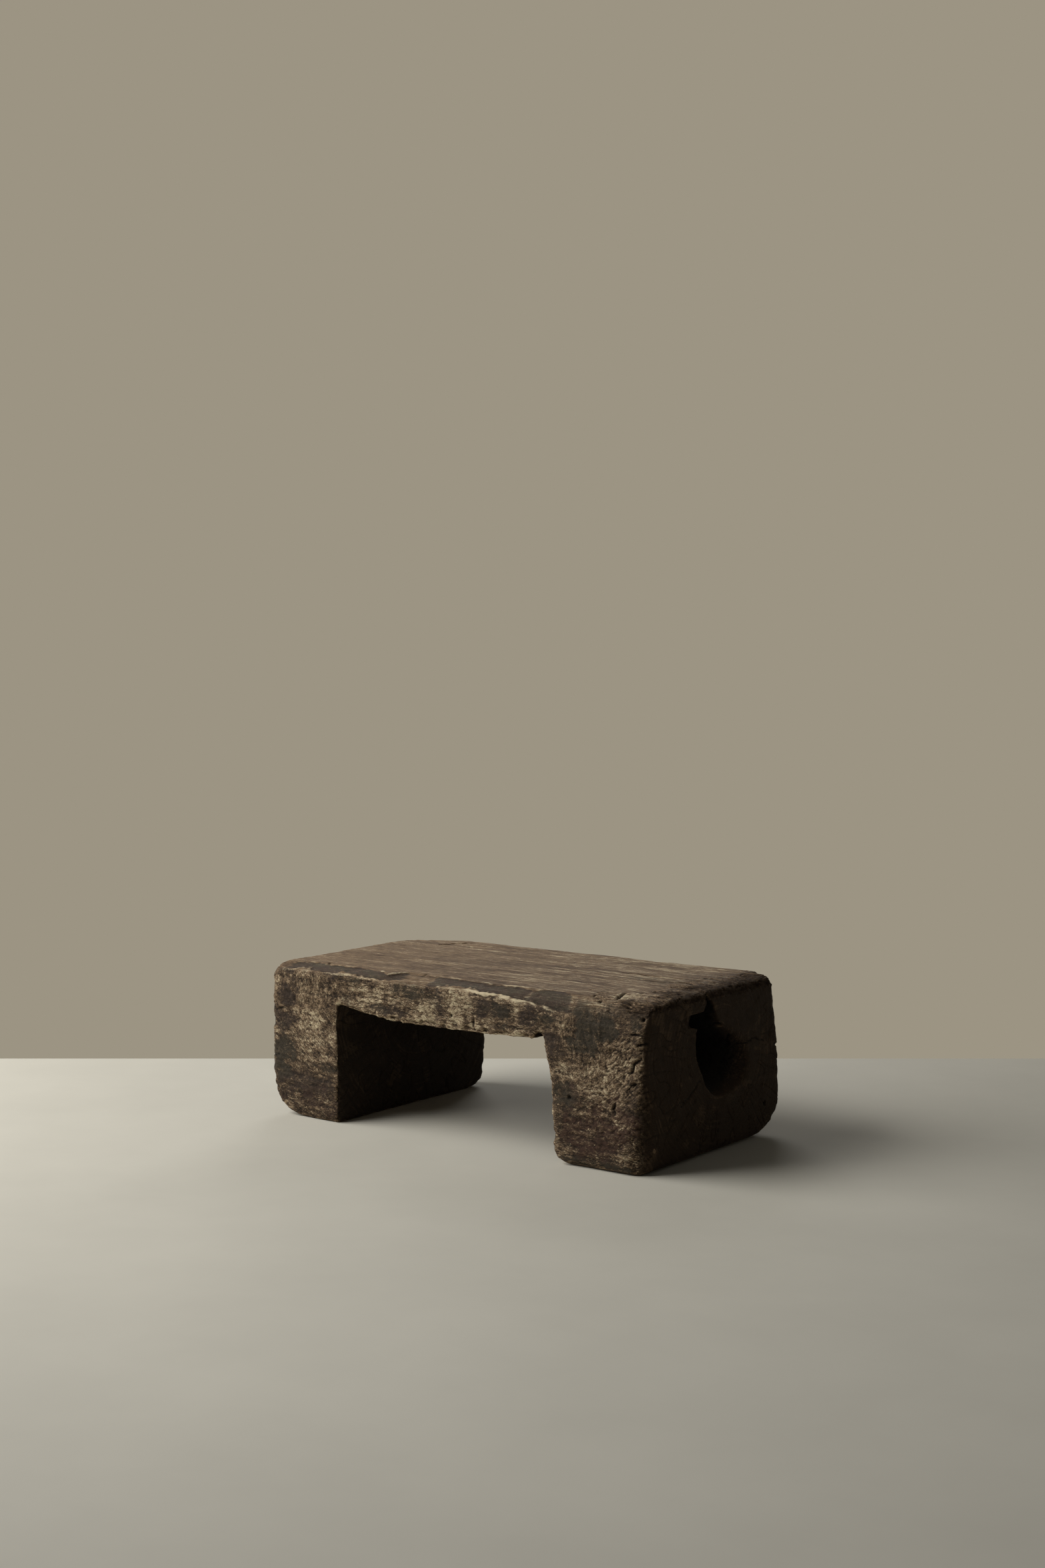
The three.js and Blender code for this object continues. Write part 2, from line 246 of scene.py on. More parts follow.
class Skin:
    """The timber's surface as arrays: points in millimetres, four-sided faces and their edges."""

    def __init__(self, mesh: bpy.types.Mesh) -> None:
        """Reads the arrays.

        Args:
            mesh: a remeshed mesh, whose faces all have four corners.
        """
        self.mesh = mesh
        self.points = read(mesh.vertices, "co", 3).astype(float) / MM
        self.faces = read(mesh.loops, "vertex_index", kind=np.int32).reshape(-1, 4)
        self.ends = read(mesh.edges, "vertices", 2, np.int32)
        self.links = np.maximum(np.bincount(self.ends.ravel(), minlength=len(self.points)), 1)

    def normals(self) -> Numbers:
        """Adds each face's cross product of diagonals to its corners and brings the sums to length 1.

        Returns:
            The outward direction at each point.
        """
        corner = self.points[self.faces]
        facing = np.cross(corner[:, 2] - corner[:, 0], corner[:, 3] - corner[:, 1])
        total = np.zeros_like(self.points)
        for axis in range(3):
            weights = np.repeat(facing[:, axis], 4)
            total[:, axis] = np.bincount(self.faces.ravel(), weights, minlength=len(total))
        return total / np.maximum(np.linalg.norm(total, axis=1), 1e-12)[:, None]

    def blurred(self, values: Numbers, rounds: int, hold: Numbers | float = 1.0) -> Numbers:
        """Moves each value to the mean of its neighbours, again and again.

        Args:
            values: one number or one row of numbers a point.
            rounds: how often.
            hold: how far each point goes to its neighbours' mean, from 0 to 1.

        Returns:
            The blurred values, in the shape that came in.
        """
        table = np.ascontiguousarray(values.reshape(len(values), -1).T).copy()
        for column in table:
            for _ in range(rounds):
                mean = np.bincount(self.ends[:, 0], column[self.ends[:, 1]], minlength=len(column))
                mean += np.bincount(self.ends[:, 1], column[self.ends[:, 0]], minlength=len(column))
                column += hold * (mean / self.links - column)
        return table.T.reshape(values.shape)

    def bulge(self, rounds: int, facing: Numbers) -> Numbers:
        """Gives how far each point stands out of the surface that is left after some rounds of blurring."""
        return ((self.points - self.blurred(self.points, rounds)) * facing).sum(axis=1)

    def push_in(self, depth: Numbers, facing: Numbers) -> None:
        """Moves each point against its outward direction by a depth, but not under the floor."""
        self.points = self.points - facing * depth[:, None]
        self.points[:, 2] = np.maximum(self.points[:, 2], 0.0)

    def write(self, marks: dict[str, Numbers]) -> None:
        """Puts the points back into the mesh in metres, with their marks and their outward directions.

        Args:
            marks: one number a point under each name that the material reads.
        """
        self.mesh.vertices.foreach_set("co", (self.points * MM).astype(np.float32).ravel())
        self.mesh.update()
        for name, values in marks.items():
            layer = self.mesh.attributes.new(name, "FLOAT", "POINT")
            layer.data.foreach_set("value", values.astype(np.float32))
        layer = self.mesh.attributes.new("whole_normal", "FLOAT_VECTOR", "POINT")
        layer.data.foreach_set("vector", self.normals().astype(np.float32).ravel())


class Face(Enum):
    """A side of the stool that marks lie on: its two axes, then the axis and sign that it looks along."""

    TOP = (0, 1, 2, 1)
    FRONT = (0, 2, 1, -1)
    BACK = (0, 2, 1, 1)
    RIGHT_END = (1, 2, 0, 1)
    LEFT_END = (1, 2, 0, -1)

    def flat(self, points: Numbers) -> Numbers:
        """Gives the points' places on this side's two axes."""
        return points[:, self.value[:2]]

    def share(self, facing: Numbers, low: float = 0.3, high: float = 0.7) -> Numbers:
        """Gives 1 where the surface looks this side's way and 0 where it turns off."""
        return ease(low, high, facing[:, self.value[2]] * self.value[3])


class Tone(Enum):
    """What sun, wet and dirt have done to a patch of the wood, and painted shade where a patch stands in
    shade. The value is the mark's name.
    """

    BLEACHED = "bleached"
    MAUVE = "mauve"
    LICHEN = "lichen"
    RUST = "rust"
    # Near-black painted shade in splits, pits and shaded corners.
    SOOT = "soot"


class Way(Enum):
    """The way that torn fibres lie on the front side: the mark's name, and degrees from the level."""

    LEVEL = ("level", -6.0)
    FALLING = ("falling", -38.0)
    UPRIGHT = ("upright", -80.0)
    RISING = ("rising", 42.0)


@dataclass(frozen=True)
class Lay:
    """A patch of the front side where the fibres lie one way, with its centre and half sizes."""

    way: Way
    at: Point2
    size: Point2


@dataclass(frozen=True)
class Patch:
    """A patch of stain or of painted shade: an ellipse with an edge that noise frays.

    The centre and half sizes are on the side's own axes, and the tilt is in degrees.
    """

    at: Point2
    size: Point2
    strength: float = 1.0
    tilt: float = 0.0


@dataclass(frozen=True)
class Split:
    """A drying split along given points, which tapers to both ends."""

    path: tuple[Point2, ...]
    width: float
    depth: float


@dataclass(frozen=True)
class Pit:
    """A worm hole, gouge or chip: an ellipse sunk to a depth."""

    at: Point2
    size: Point2
    depth: float
    tilt: float = 0.0


@dataclass(frozen=True)
class PaleLine:
    """A narrow line of bleached fibres along given points, frayed by noise."""

    path: tuple[Point2, ...]
    width: float
    strength: float


@dataclass(frozen=True)
class Sides:
    """How far each point lies on each kind of surface, from 0 to 1."""

    top: Numbers
    front: Numbers
    ends: Numbers
    sole: Numbers
    upward: Numbers
    hollow: Numbers


@dataclass
class WornTimber:
    """The stool's one piece of wood, from the fused solids to the three carved pieces.

    Lengths and places are millimetres. The grain runs along X, so the sides that look along X are end grain.
    The cuts stand a little inside the legs' inner faces, so that no flake of these falls to the seat. The gap
    is the space between the legs. The heart is the log's, with the hollow round it in the right end: its left
    wall is straight, its right wall scooped, and above it are the shake and, beside that, the socket.
    """

    pitch: float = 2.18
    seed: int = 7
    left_cut: float = -215.5
    right_cut: float = 174.5
    front_from: float = -170.0
    end_face: float = 364.0
    outer_from: float = 300.0
    underside: float = 184.0
    gap_middle: float = -20.0
    gap_half: float = 205.0
    gap_corner: float = -222.0
    heart: Point2 = (12.0, 160.0)
    hollow_reach: Point2 = (76.0, 92.0)
    scoop_reach: float = 118.0
    hollow_back: float = 228.0
    hollow_roof: float = 243.0
    socket_at: Point2 = (-50.0, 206.0)
    socket_half: Point2 = (32.0, 20.0)
    shake_at: Point2 = (-24.0, 222.0)
    shake_half: Point2 = (24.0, 25.0)
    worn_corner: Point3 = (372.0, -200.0, 254.0)
    worn_reach: Point3 = (62.0, 54.0, 46.0)
    worn_depth: float = 9.0
    noise: Lattice = field(init=False)
    marks: dict[str, Numbers] = field(init=False, default_factory=dict)

    def __post_init__(self) -> None:
        """Seeds the noise that every method draws on."""
        self.noise = Lattice(self.seed)

    def fused(self) -> bpy.types.Mesh:
        """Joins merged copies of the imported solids.

        Returns:
            One closed skin of even four-sided faces.
        """
        copies = []
        for name in sorted(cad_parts):
            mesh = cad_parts[name].data.copy()
            shape = bmesh.new()
            shape.from_mesh(mesh)
            bmesh.ops.remove_doubles(shape, verts=shape.verts, dist=1e-6)
            shape.to_mesh(mesh)
            shape.free()
            copy = bpy.data.objects.new(f"copy_of_{name}", mesh)
            bpy.context.scene.collection.objects.link(copy)
            copies.append(copy)
        whole, *others = copies
        for other in others:
            join = whole.modifiers.new(other.name, "BOOLEAN")
            join.operation = "UNION"
            join.solver = "EXACT"
            join.object = other
        remesh = whole.modifiers.new("even_skin", "REMESH")
        remesh.mode = "VOXEL"
        remesh.voxel_size = self.pitch * MM
        graph = bpy.context.evaluated_depsgraph_get()
        mesh = bpy.data.meshes.new_from_object(whole.evaluated_get(graph))
        for copy in copies:
            bpy.data.objects.remove(copy)
        return mesh

    def mark(self, name: str, values: Numbers) -> None:
        """Adds to a mark that the material reads, keeping the greater value."""
        self.marks[name] = np.maximum(values, self.marks[name]) if name in self.marks else values

    def in_hollow(self, points: Numbers) -> Numbers:
        """Finds the walls of the rotted heart and of its socket.

        Args:
            points: places in millimetres.

        Returns:
            1 on those walls, 0.7 in the socket and 0 on the stool's outside.
        """
        away = points[:, 1:] - self.heart
        across = np.where(away[:, 0] > 0, self.scoop_reach, self.hollow_reach[0])
        inside = ease(1.1, 0.9, np.hypot(away[:, 0] / across, away[:, 1] / self.hollow_reach[1]))
        inside = inside * (points[:, 0] > self.hollow_back) * (points[:, 2] < self.hollow_roof)
        socket = within(points[:, 1:], self.socket_at, self.socket_half) * (points[:, 0] > self.end_face - 24)
        return np.maximum(inside, 0.7 * socket)

    def crisp(self, points: Numbers) -> Numbers:
        """Finds the arrises that stay sharp: the front edge and left corner of the gap, and the hollow's rim.

        Args:
            points: places in millimetres.

        Returns:
            0.85 on those arrises and 0 elsewhere.
        """
        front = points[:, 1] < self.front_from
        edge = ease(14, 6, np.abs(points[:, 2] - self.underside)) * front
        edge = edge * (np.abs(points[:, 0] - self.gap_middle) < self.gap_half + 5)
        corner = ease(14, 6, np.abs(points[:, 0] - self.gap_corner)) * front
        corner = corner * (points[:, 2] > 150) * (points[:, 2] < 200)
        rim = ease(1.5, 1.2, np.hypot(*((points[:, 1:] - self.heart) / self.hollow_reach).T))
        rim = rim * (points[:, 0] > self.hollow_back) * (points[:, 2] < 246) * ease(44, 20, points[:, 1])
        return 0.85 * np.maximum(np.maximum(edge, corner), rim)

    def outer_facing(self, points: Numbers, facing: Numbers) -> Numbers:
        """Takes the X off the outward directions of the legs' inner faces, so that no end's marks land there.

        Args:
            points: places in millimetres.
            facing: their outward directions.

        Returns:
            The changed directions.
        """
        outer = facing.copy()
        outer[np.abs(points[:, 0]) <= self.outer_from, 0] = 0.0
        return outer

    def sides(self, points: Numbers, facing: Numbers) -> Sides:
        """Shares the surface among its sides.

        Args:
            points: places in millimetres.
            facing: their outward directions.

        Returns:
            Each point's share of each side.
        """
        top = Face.TOP.share(facing)
        return Sides(
            top=top,
            front=Face.FRONT.share(facing),
            ends=ease(0.5, 0.85, np.abs(facing[:, 0])),
            sole=ease(0.5, 0.85, -facing[:, 2]) * (points[:, 2] < 30),
            upward=np.maximum(top, ease(-0.2, 0.3, facing[:, 2])),
            hollow=self.in_hollow(points))

    def blackness(self, points: Numbers, hollow: Numbers) -> Numbers:
        """Paints shade on the hollow's walls, darker by their depth behind the end face.

        The left walls go black within a few millimetres, the shake sooner and the scooped right wall slowly.
        The strip of wood between the socket and the shake stays brown.

        Args:
            points: places in millimetres.
            hollow: how far each point is on the hollow's walls, from 0 to 1.

        Returns:
            0 for bare end grain to 1 for black.
        """
        reach = 7.0 + 20.0 * ease(-25, 35, points[:, 1])
        shake = within(points[:, 1:], self.shake_at, self.shake_half) * (points[:, 0] > self.outer_from)
        reach = np.where(shake, 3.0, reach)
        black = np.maximum(hollow, shake) * ease(0.0, 1.0, (self.end_face + 3.0 - points[:, 0]) / reach)
        strip = ease(-62, -56, points[:, 1]) * ease(-37, -42, points[:, 1]) * ease(194, 198, points[:, 2])
        return black * (1.0 - 0.85 * strip)

    def waves(self, points: Numbers) -> Numbers:
        """Broad unevenness left by hewing: two sizes of smooth noise."""
        return 1.5 * self.noise.smooth(points, 88) + 0.7 * self.noise.smooth(points + 300, 36)

    def adze_marks(self, points: Numbers) -> Numbers:
        """Shallow scoops beside each other: less deep by the square of the way to the nearest centre."""
        return 1.6 * (0.5 - self.noise.nearest(points, (52, 44, 34)))

    def grain(self, points: Numbers) -> Numbers:
        """Ridges of hard grain along X: noise in cells many times longer than wide."""
        fine = self.noise.smooth(points + 500, (70, 4.6, 4.6))
        return self.noise.smooth(points, (120, 6.5, 6.5)) + 0.6 * fine

    def end_grain(self, points: Numbers) -> Numbers:
        """Growth rings round the heart, with softer wood sunk, and fine checks that run out from it.

        A ring is noise of the distance from the heart. A check is where noise of the direction crosses 0.

        Args:
            points: places in millimetres.

        Returns:
            The depth at each point, in millimetres.
        """
        away = points[:, 1:] - self.heart
        radius = np.hypot(*away.T) + 5.0 * self.noise.smooth(points, 60)
        zero = np.zeros(len(points))
        rings = self.noise.smooth(np.column_stack((radius, zero, points[:, 0])), (4.6, 1, 60))
        ray = 90.0 * away / np.maximum(radius, 1.0)[:, None]
        rays = self.noise.smooth(np.column_stack((ray, 0.14 * radius + 0.3 * points[:, 0])), (11, 11, 9))
        return 0.5 * rings + 1.3 * ease(0.07, 0.0, np.abs(rays))

    def crumbs(self, points: Numbers) -> tuple[Numbers, Numbers]:
        """The top's right end, broken into flakes by cracks along the grain, with crumbs between them.

        Args:
            points: places in millimetres.

        Returns:
            How crumbly each point is, from 0 to 1, and how deep its flakes and cracks are, in millimetres.
        """
        shift = 30 * self.noise.smooth(points + 740, (60, 34, 34))
        crumbly = ease(280, 340, points[:, 0] + shift)
        corner = ellipse_reach(Face.TOP.flat(points), (305, -150), (62, 52), -30)
        crumbly = np.maximum(crumbly, 0.7 * ease(1.1, 0.4, corner + shift / 60))
        crumbly = crumbly * ease(222, 240, points[:, 2])
        crack = np.abs(self.noise.smooth(points + 750, (44, 9, 9)))
        depth = 3.0 * ease(0.12, 0.0, crack) + 1.6 * self.noise.smooth(points + 720, (17, 7, 7))
        return crumbly, depth + 0.8 * self.noise.smooth(points + 730, 5)

    def way_shares(self, points: Numbers) -> dict[Way, Numbers]:
        """Shares each point among the ways that fibres lie, by a bell curve of its distance to their patches.

        Args:
            points: places in millimetres.

        Returns:
            The share of each way, from 0 to 1.
        """
        flat = Face.FRONT.flat(points)
        weights = {way: np.full(len(points), 1e-3 if way is Way.LEVEL else 0.0) for way in Way}
        for lay in LAYS:
            gap = ((flat - lay.at) / lay.size) ** 2
            weights[lay.way] += np.exp(-1.6 * gap.sum(axis=1))
        total = sum(weights.values())
        return {way: weight / total for way, weight in weights.items()}

    def fibres(self, points: Numbers, shares: dict[Way, Numbers]) -> Numbers:
        """Torn fibres on the front: noise stretched along each way, blended by the ways' shares.

        Args:
            points: places in millimetres.
            shares: the share of each way.

        Returns:
            How far the fibres stand out, from about -1.6 to 1.6.
        """
        total = np.zeros(len(points))
        for way, share in shares.items():
            lain = turned(points, way.value[1])
            strand = self.noise.smooth(lain, (21, 7, 5.0)) + 0.6 * self.noise.smooth(lain + 90, (34, 9, 9))
            total += share * strand
        return total

    def wrinkles(self, points: Numbers) -> Numbers:
        """Leathery folds: creases along the zeros of three slanted noises, and swellings between them.

        Args:
            points: places in millimetres.

        Returns:
            The depth at each point, in millimetres.
        """
        bent = points + 5.0 * self.noise.smooth(points, 24)[:, None]
        total = np.zeros(len(points))
        folds = ((48.0, (24, 13, 9), 1.1), (-14.0, (17, 10, 6.5), 1.0), (20.0, (9, 6, 4.6), 0.7))
        for degrees, size, deep in folds:
            fold = np.abs(self.noise.smooth(turned(bent, degrees), size))
            total += deep * (1.3 * ease(0.14, 0.0, fold) - fold)
        return total

    def band(self, points: Numbers, facing: Numbers) -> tuple[Numbers, Numbers, Numbers]:
        """The worn band along the front top edge, between two frayed lips.

        A point is in the band where it lies in front of the upper lip, on the top, and above the lower lip,
        on the front, each lip shifted by noise. The lips are the narrow rims beside those two lines.

        Args:
            points: places in millimetres.
            facing: their outward directions.

        Returns:
            The shares of band, of the band's dark runs and of lip, from 0 to 1.
        """
        fray = 3.0 * self.noise.smooth(points, (26, 18, 18)) + 2.0 * self.noise.smooth(points + 70, (8, 6, 6))
        torn = 1.8 * self.noise.smooth(points + 90, (7, 5, 5))
        before = broken_line(UPPER_LIP, points[:, 0]) - points[:, 1] + fray
        over = points[:, 2] - broken_line(LOWER_LIP, points[:, 0]) + 0.8 * fray
        seen = np.maximum(Face.TOP.share(facing), Face.FRONT.share(facing)) * (points[:, 1] < -110)
        seen = seen * ease(258, 205, points[:, 0] + 14 * self.noise.smooth(points + 40, 16))
        inside = ease(0.0, 5.0, before) * ease(0.0, 3.0, over) * seen
        upper = ease(3.0, 0.6, np.abs(before + 1.0 + torn)) * (over > -2) * (points[:, 2] > 234)
        lower = ease(3.4, 0.8, np.abs(over + 1.2 + 0.6 * torn)) * (before > 0)
        upper = upper * broken_line(UPPER_PALENESS, points[:, 0])
        lower = lower * broken_line(LOWER_PALENESS, points[:, 0])
        gaps = ease(-0.45, 0.15, self.noise.smooth(points + 620, (22, 12, 12)))
        runs = broken_line(RUNS, points[:, 0] + 9 * self.noise.smooth(points + 830, (14, 10, 10)))
        return inside, inside * runs, np.maximum(upper, lower) * seen * gaps

    def split_depth(self, points: Numbers, facing: Numbers) -> Numbers:
        """Cuts every split as a groove that tapers to its ends, and paints shade into it.

        Args:
            points: places in millimetres.
            facing: their outward directions.

        Returns:
            The depth at each point, in millimetres.
        """
        depth = np.zeros(len(points))
        shift = np.column_stack([2.2 * self.noise.smooth(points + 40 * k, 13) for k in (1, 2)])
        uneven = 1.0 + 0.55 * self.noise.smooth(points + 580, 15)
        for face, splits in SPLITS.items():
            for split in splits:
                away, share = line_reach(face.flat(points) + shift, split.path)
                taper = uneven * np.sqrt(np.clip(4 * share * (1 - share), 0.05, 1.0))
                groove = ease(split.width, 0.3 * split.width, away / taper) * face.share(facing, 0.1, 0.4)
                depth = np.maximum(depth, split.depth * groove * np.minimum(taper, 1.2))
                # The groove is painted near black: painted shade in the split.
                self.mark(Tone.SOOT.value, groove)
        return depth

    def pit_depth(self, points: Numbers, facing: Numbers) -> Numbers:
        """Sinks every pit as a ragged bowl, and paints shade into it, darker for deeper pits.

        Args:
            points: places in millimetres.
            facing: their outward directions.

        Returns:
            The depth at each point, in millimetres.
        """
        depth = np.zeros(len(points))
        ragged = 0.35 * self.noise.smooth(points + 510, 7)
        for face, pits in PITS.items():
            for pit in pits:
                reach = ellipse_reach(face.flat(points), pit.at, pit.size, pit.tilt) + ragged
                bowl = ease(1.15, 0.5, reach) * face.share(facing, 0.1, 0.4)
                depth = np.maximum(depth, pit.depth * bowl)
                # Painted shade in the pit, darker for deeper pits.
                self.mark(Tone.SOOT.value, bowl * min(1.0, pit.depth / 3.0))
        return depth

    def stain(self, points: Numbers, facing: Numbers) -> None:
        """Lays every patch of stain or of painted shade and every pale line, and fainter patches by noise
        over the sides that have none.

        Args:
            points: places in millimetres.
            facing: their outward directions.
        """
        fray = 0.8 * self.noise.smooth(points, 26) + 0.6 * self.noise.smooth(points + 15, 10)
        for (face, tone), patches in PATCHES.items():
            for patch in patches:
                reach = ellipse_reach(face.flat(points), patch.at, patch.size, patch.tilt)
                self.mark(tone.value, ease(1.7, 0.35, reach + fray) * face.share(facing) * patch.strength)
        shift = np.column_stack([1.6 * self.noise.smooth(points + 60 * k, 11) for k in (1, 2)])
        ragged = 1.0 + 0.8 * self.noise.smooth(points + 410, (9, 7, 7))
        for face, lines in PALE_LINES.items():
            for line in lines:
                away, _ = line_reach(face.flat(points) + shift, line.path)
                cover = ease(1.2, 0.5, away / (line.width * ragged + 0.6)) * face.share(facing, 0.1, 0.5)
                self.mark(Tone.BLEACHED.value, cover * line.strength)
        unseen = 1.0 - 0.75 * np.maximum(Face.FRONT.share(facing), Face.TOP.share(facing))
        for tone, offset in ((Tone.MAUVE, 900), (Tone.LICHEN, 1300), (Tone.BLEACHED, 1700)):
            drift = self.noise.smooth(points + offset, (70, 60, 44))
            drift += 0.5 * self.noise.smooth(points + offset, 22)
            self.mark(tone.value, 0.7 * ease(0.25, 0.75, drift) * unseen)

    def hewn_depth(self, points: Numbers, sides: Sides) -> Numbers:
        """The depth of what hewing and drying left: waves, adze marks, ridges of grain, and the ends' rings.

        Args:
            points: places in millimetres.
            sides: their shares of the sides.

        Returns:
            The depth at each point, in millimetres.
        """
        open_air = 1 - sides.hollow
        hewn = open_air * (1 - 0.75 * sides.top) * (1 - 0.5 * sides.front)
        ridged = (1 - sides.ends) * (1 - 0.8 * sides.hollow) * (0.5 + 0.1 * sides.front)
        depth = self.waves(points) * (1 - 0.55 * sides.top)
        depth += self.adze_marks(points) * hewn * 0.8
        depth += self.grain(points) * ridged
        return depth + self.end_grain(points) * sides.ends * open_air

    def front_depth(self, points: Numbers, sides: Sides) -> Numbers:
        """The depth of the front's folds and torn fibres. The ways that the fibres lie are marked too.

        Args:
            points: places in millimetres.
            sides: their shares of the sides.

        Returns:
            The depth at each point, in millimetres.
        """
        shares = self.way_shares(points)
        for way in (Way.FALLING, Way.UPRIGHT, Way.RISING):
            self.mark(way.value[0], shares[way])
        crinkled = ease(1.3, 0.5, ellipse_reach(Face.FRONT.flat(points), (326, 108), (66, 88), 12))
        depth = self.wrinkles(points) * sides.front * (0.25 + 0.5 * crinkled)
        return depth - 0.8 * self.fibres(points, shares) * sides.front

    def broken_depth(self, points: Numbers, sides: Sides) -> Numbers:
        """The depth of what has broken away: the top's right end, its front corner and chips over the gap.

        Args:
            points: places in millimetres.
            sides: their shares of the sides.

        Returns:
            The depth at each point, in millimetres.
        """
        crumbly, crumbs = self.crumbs(points)
        self.mark("rough", crumbly * sides.upward)
        corner = np.linalg.norm((points - self.worn_corner) / self.worn_reach, axis=1)
        edge = ease(15, 2, points[:, 2] - (self.underside - 4)) * sides.front
        edge = edge * (np.abs(points[:, 0] - self.gap_middle) < self.gap_half)
        chips = edge * np.clip(self.noise.smooth(points + 210, (15, 12, 12)), -0.2, 1) * 4.2
        return crumbly * crumbs * sides.upward + self.worn_depth * ease(1.0, 0.2, corner) + chips

    def arris_depth(self, points: Numbers, bulge: Numbers, sides: Sides) -> Numbers:
        """The depth of wear and chips along every arris, found by how far it stands out of a blurred timber.

        Args:
            points: places in millimetres.
            bulge: how far they stand out, in millimetres.
            sides: their shares of the sides.

        Returns:
            The depth at each point, in millimetres.
        """
        arris = ease(0.8, 3.0, bulge) * (1 - sides.hollow)
        chipped = np.clip(self.noise.smooth(points + 33, (24, 16, 16)), 0, 1) * 2.6
        return arris * (0.5 + chipped + 0.9 * self.noise.smooth(points + 77, 8))

    def band_depth(self, points: Numbers, facing: Numbers) -> Numbers:
        """The depth of the worn band, with its lips standing out, which marks its dark runs and lips too.

        Args:
            points: places in millimetres.
            facing: their outward directions.

        Returns:
            The depth at each point, in millimetres.
        """
        inside, run, lip = self.band(points, facing)
        self.mark("run", run)
        self.mark("lip", lip)
        return inside * (1.5 + 0.4 * self.noise.smooth(points, 14)) - 0.9 * lip

    def carve(self, skin: Skin) -> None:
        """Wears the fused timber: eases its arrises, then sinks every layer of wear, and marks the stains.

        Args:
            skin: the timber, whose points are moved.
        """
        skin.points = skin.blurred(skin.points, 9, 1.0 - self.crisp(skin.points))
        inner = self.in_hollow(skin.points) * ease(self.end_face - 4, self.end_face - 26, skin.points[:, 0])
        skin.points = skin.blurred(skin.points, 40, inner)
        home = skin.points.copy()
        facing = skin.blurred(skin.normals(), 4)
        facing /= np.linalg.norm(facing, axis=1)[:, None]
        outer = self.outer_facing(home, facing)
        sides = self.sides(home, facing)
        pocked = 0.9 * self.noise.smooth(home, (90, 30, 30)) + 0.5 * self.noise.smooth(home, 12)
        depth = self.hewn_depth(home, sides)
        depth += self.front_depth(home, sides)
        depth += self.broken_depth(home, sides)
        depth += sides.hollow * pocked
        depth += self.arris_depth(home, skin.bulge(36, facing), sides)
        depth += self.band_depth(home, facing)
        depth += self.split_depth(home, outer) + self.pit_depth(home, outer)
        skin.push_in(depth * (1 - 0.8 * sides.sole), facing)
        self.stain(home, outer)
        self.mark("top", sides.top)
        self.mark("front", sides.front)
        self.mark("end_grain", np.maximum(sides.ends, sides.hollow))
        # The hollow's walls get painted shade, near black by their depth.
        self.mark("hollow", self.blackness(home, sides.hollow))
        # Darker towards the bottom: the mark fades out from 15 to 115 mm above the floor.
        self.mark("near_floor", ease(115, 15, home[:, 2]))
        # How far each point stands out: the material paints shade into sunk places from it, and paler raised
        # tips, partly wear and partly painted highlight.
        self.mark("relief", np.clip(skin.bulge(5, skin.normals()) / 0.5, -1, 1))

    def parted(
            self, mesh: bpy.types.Mesh, name: str, low: float | None, high: float | None) -> bpy.types.Object:
        """Cuts one closed piece out of the whole timber, keeping the whole's shading at the cut.

        Args:
            mesh: the whole timber.
            name: the piece's name.
            low: where the piece begins along X, or None at the timber's own end.
            high: where it ends along X, or None at the timber's own end.

        Returns:
            The piece, with its place in its mesh.
        """
        shape = bmesh.new()
        shape.from_mesh(mesh)
        for place, outer in ((low, False), (high, True)):
            if place is None:
                continue
            parts = [*shape.verts, *shape.edges, *shape.faces]
            cut = bmesh.ops.bisect_plane(
                shape, geom=parts, dist=1e-7, plane_co=(place * MM, 0, 0), plane_no=(1, 0, 0),
                clear_outer=outer, clear_inner=not outer)
            rim = [e for e in cut["geom_cut"] if isinstance(e, bmesh.types.BMEdge)]
            bmesh.ops.contextual_create(shape, geom=rim)
        bmesh.ops.triangulate(shape, faces=[f for f in shape.faces if len(f.verts) > 4])
        bmesh.ops.recalc_face_normals(shape, faces=shape.faces)
        part = bpy.data.meshes.new(name)
        shape.to_mesh(part)
        shape.free()
        self.shade(part, [p for p in (low, high) if p is not None])
        piece = bpy.data.objects.new(name, part)
        bpy.context.scene.collection.objects.link(piece)
        return piece

    def shade(self, part: bpy.types.Mesh, cuts: list[float]) -> None:
        """Gives a part's outside the whole timber's normals, and its cut faces flat ones.

        Args:
            part: the part's mesh.
            cuts: where it was cut along X, in millimetres.
        """
        part.polygons.foreach_set("use_smooth", np.ones(len(part.polygons), bool))
        whole = read(part.attributes["whole_normal"].data, "vector", 3)
        normals = whole[read(part.loops, "vertex_index", kind=np.int32)]
        across = read(part.polygons, "center", 3)[:, 0]
        counts = read(part.polygons, "loop_total", kind=np.int32)
        on_cut = np.any([np.abs(across - cut * MM) < 1e-6 for cut in cuts], axis=0)
        flat = np.repeat(read(part.polygons, "normal", 3), counts, axis=0)
        normals = np.where(np.repeat(on_cut, counts)[:, None], flat, normals)
        part.attributes.remove(part.attributes["whole_normal"])
        part.normals_split_custom_set(normals)

    def build(self) -> dict[str, bpy.types.Object]:
        """Makes the worn timber and parts it.

        Returns:
            The three carved pieces by the name of the solid that each stands for.
        """
        skin = Skin(self.fused())
        self.carve(skin)
        skin.write(self.marks)
        return {
            "left_leg": self.parted(skin.mesh, "carved_left_leg", None, self.left_cut),
            "seat": self.parted(skin.mesh, "carved_seat", self.left_cut, self.right_cut),
            "right_leg": self.parted(skin.mesh, "carved_right_leg", self.right_cut, None),
        }


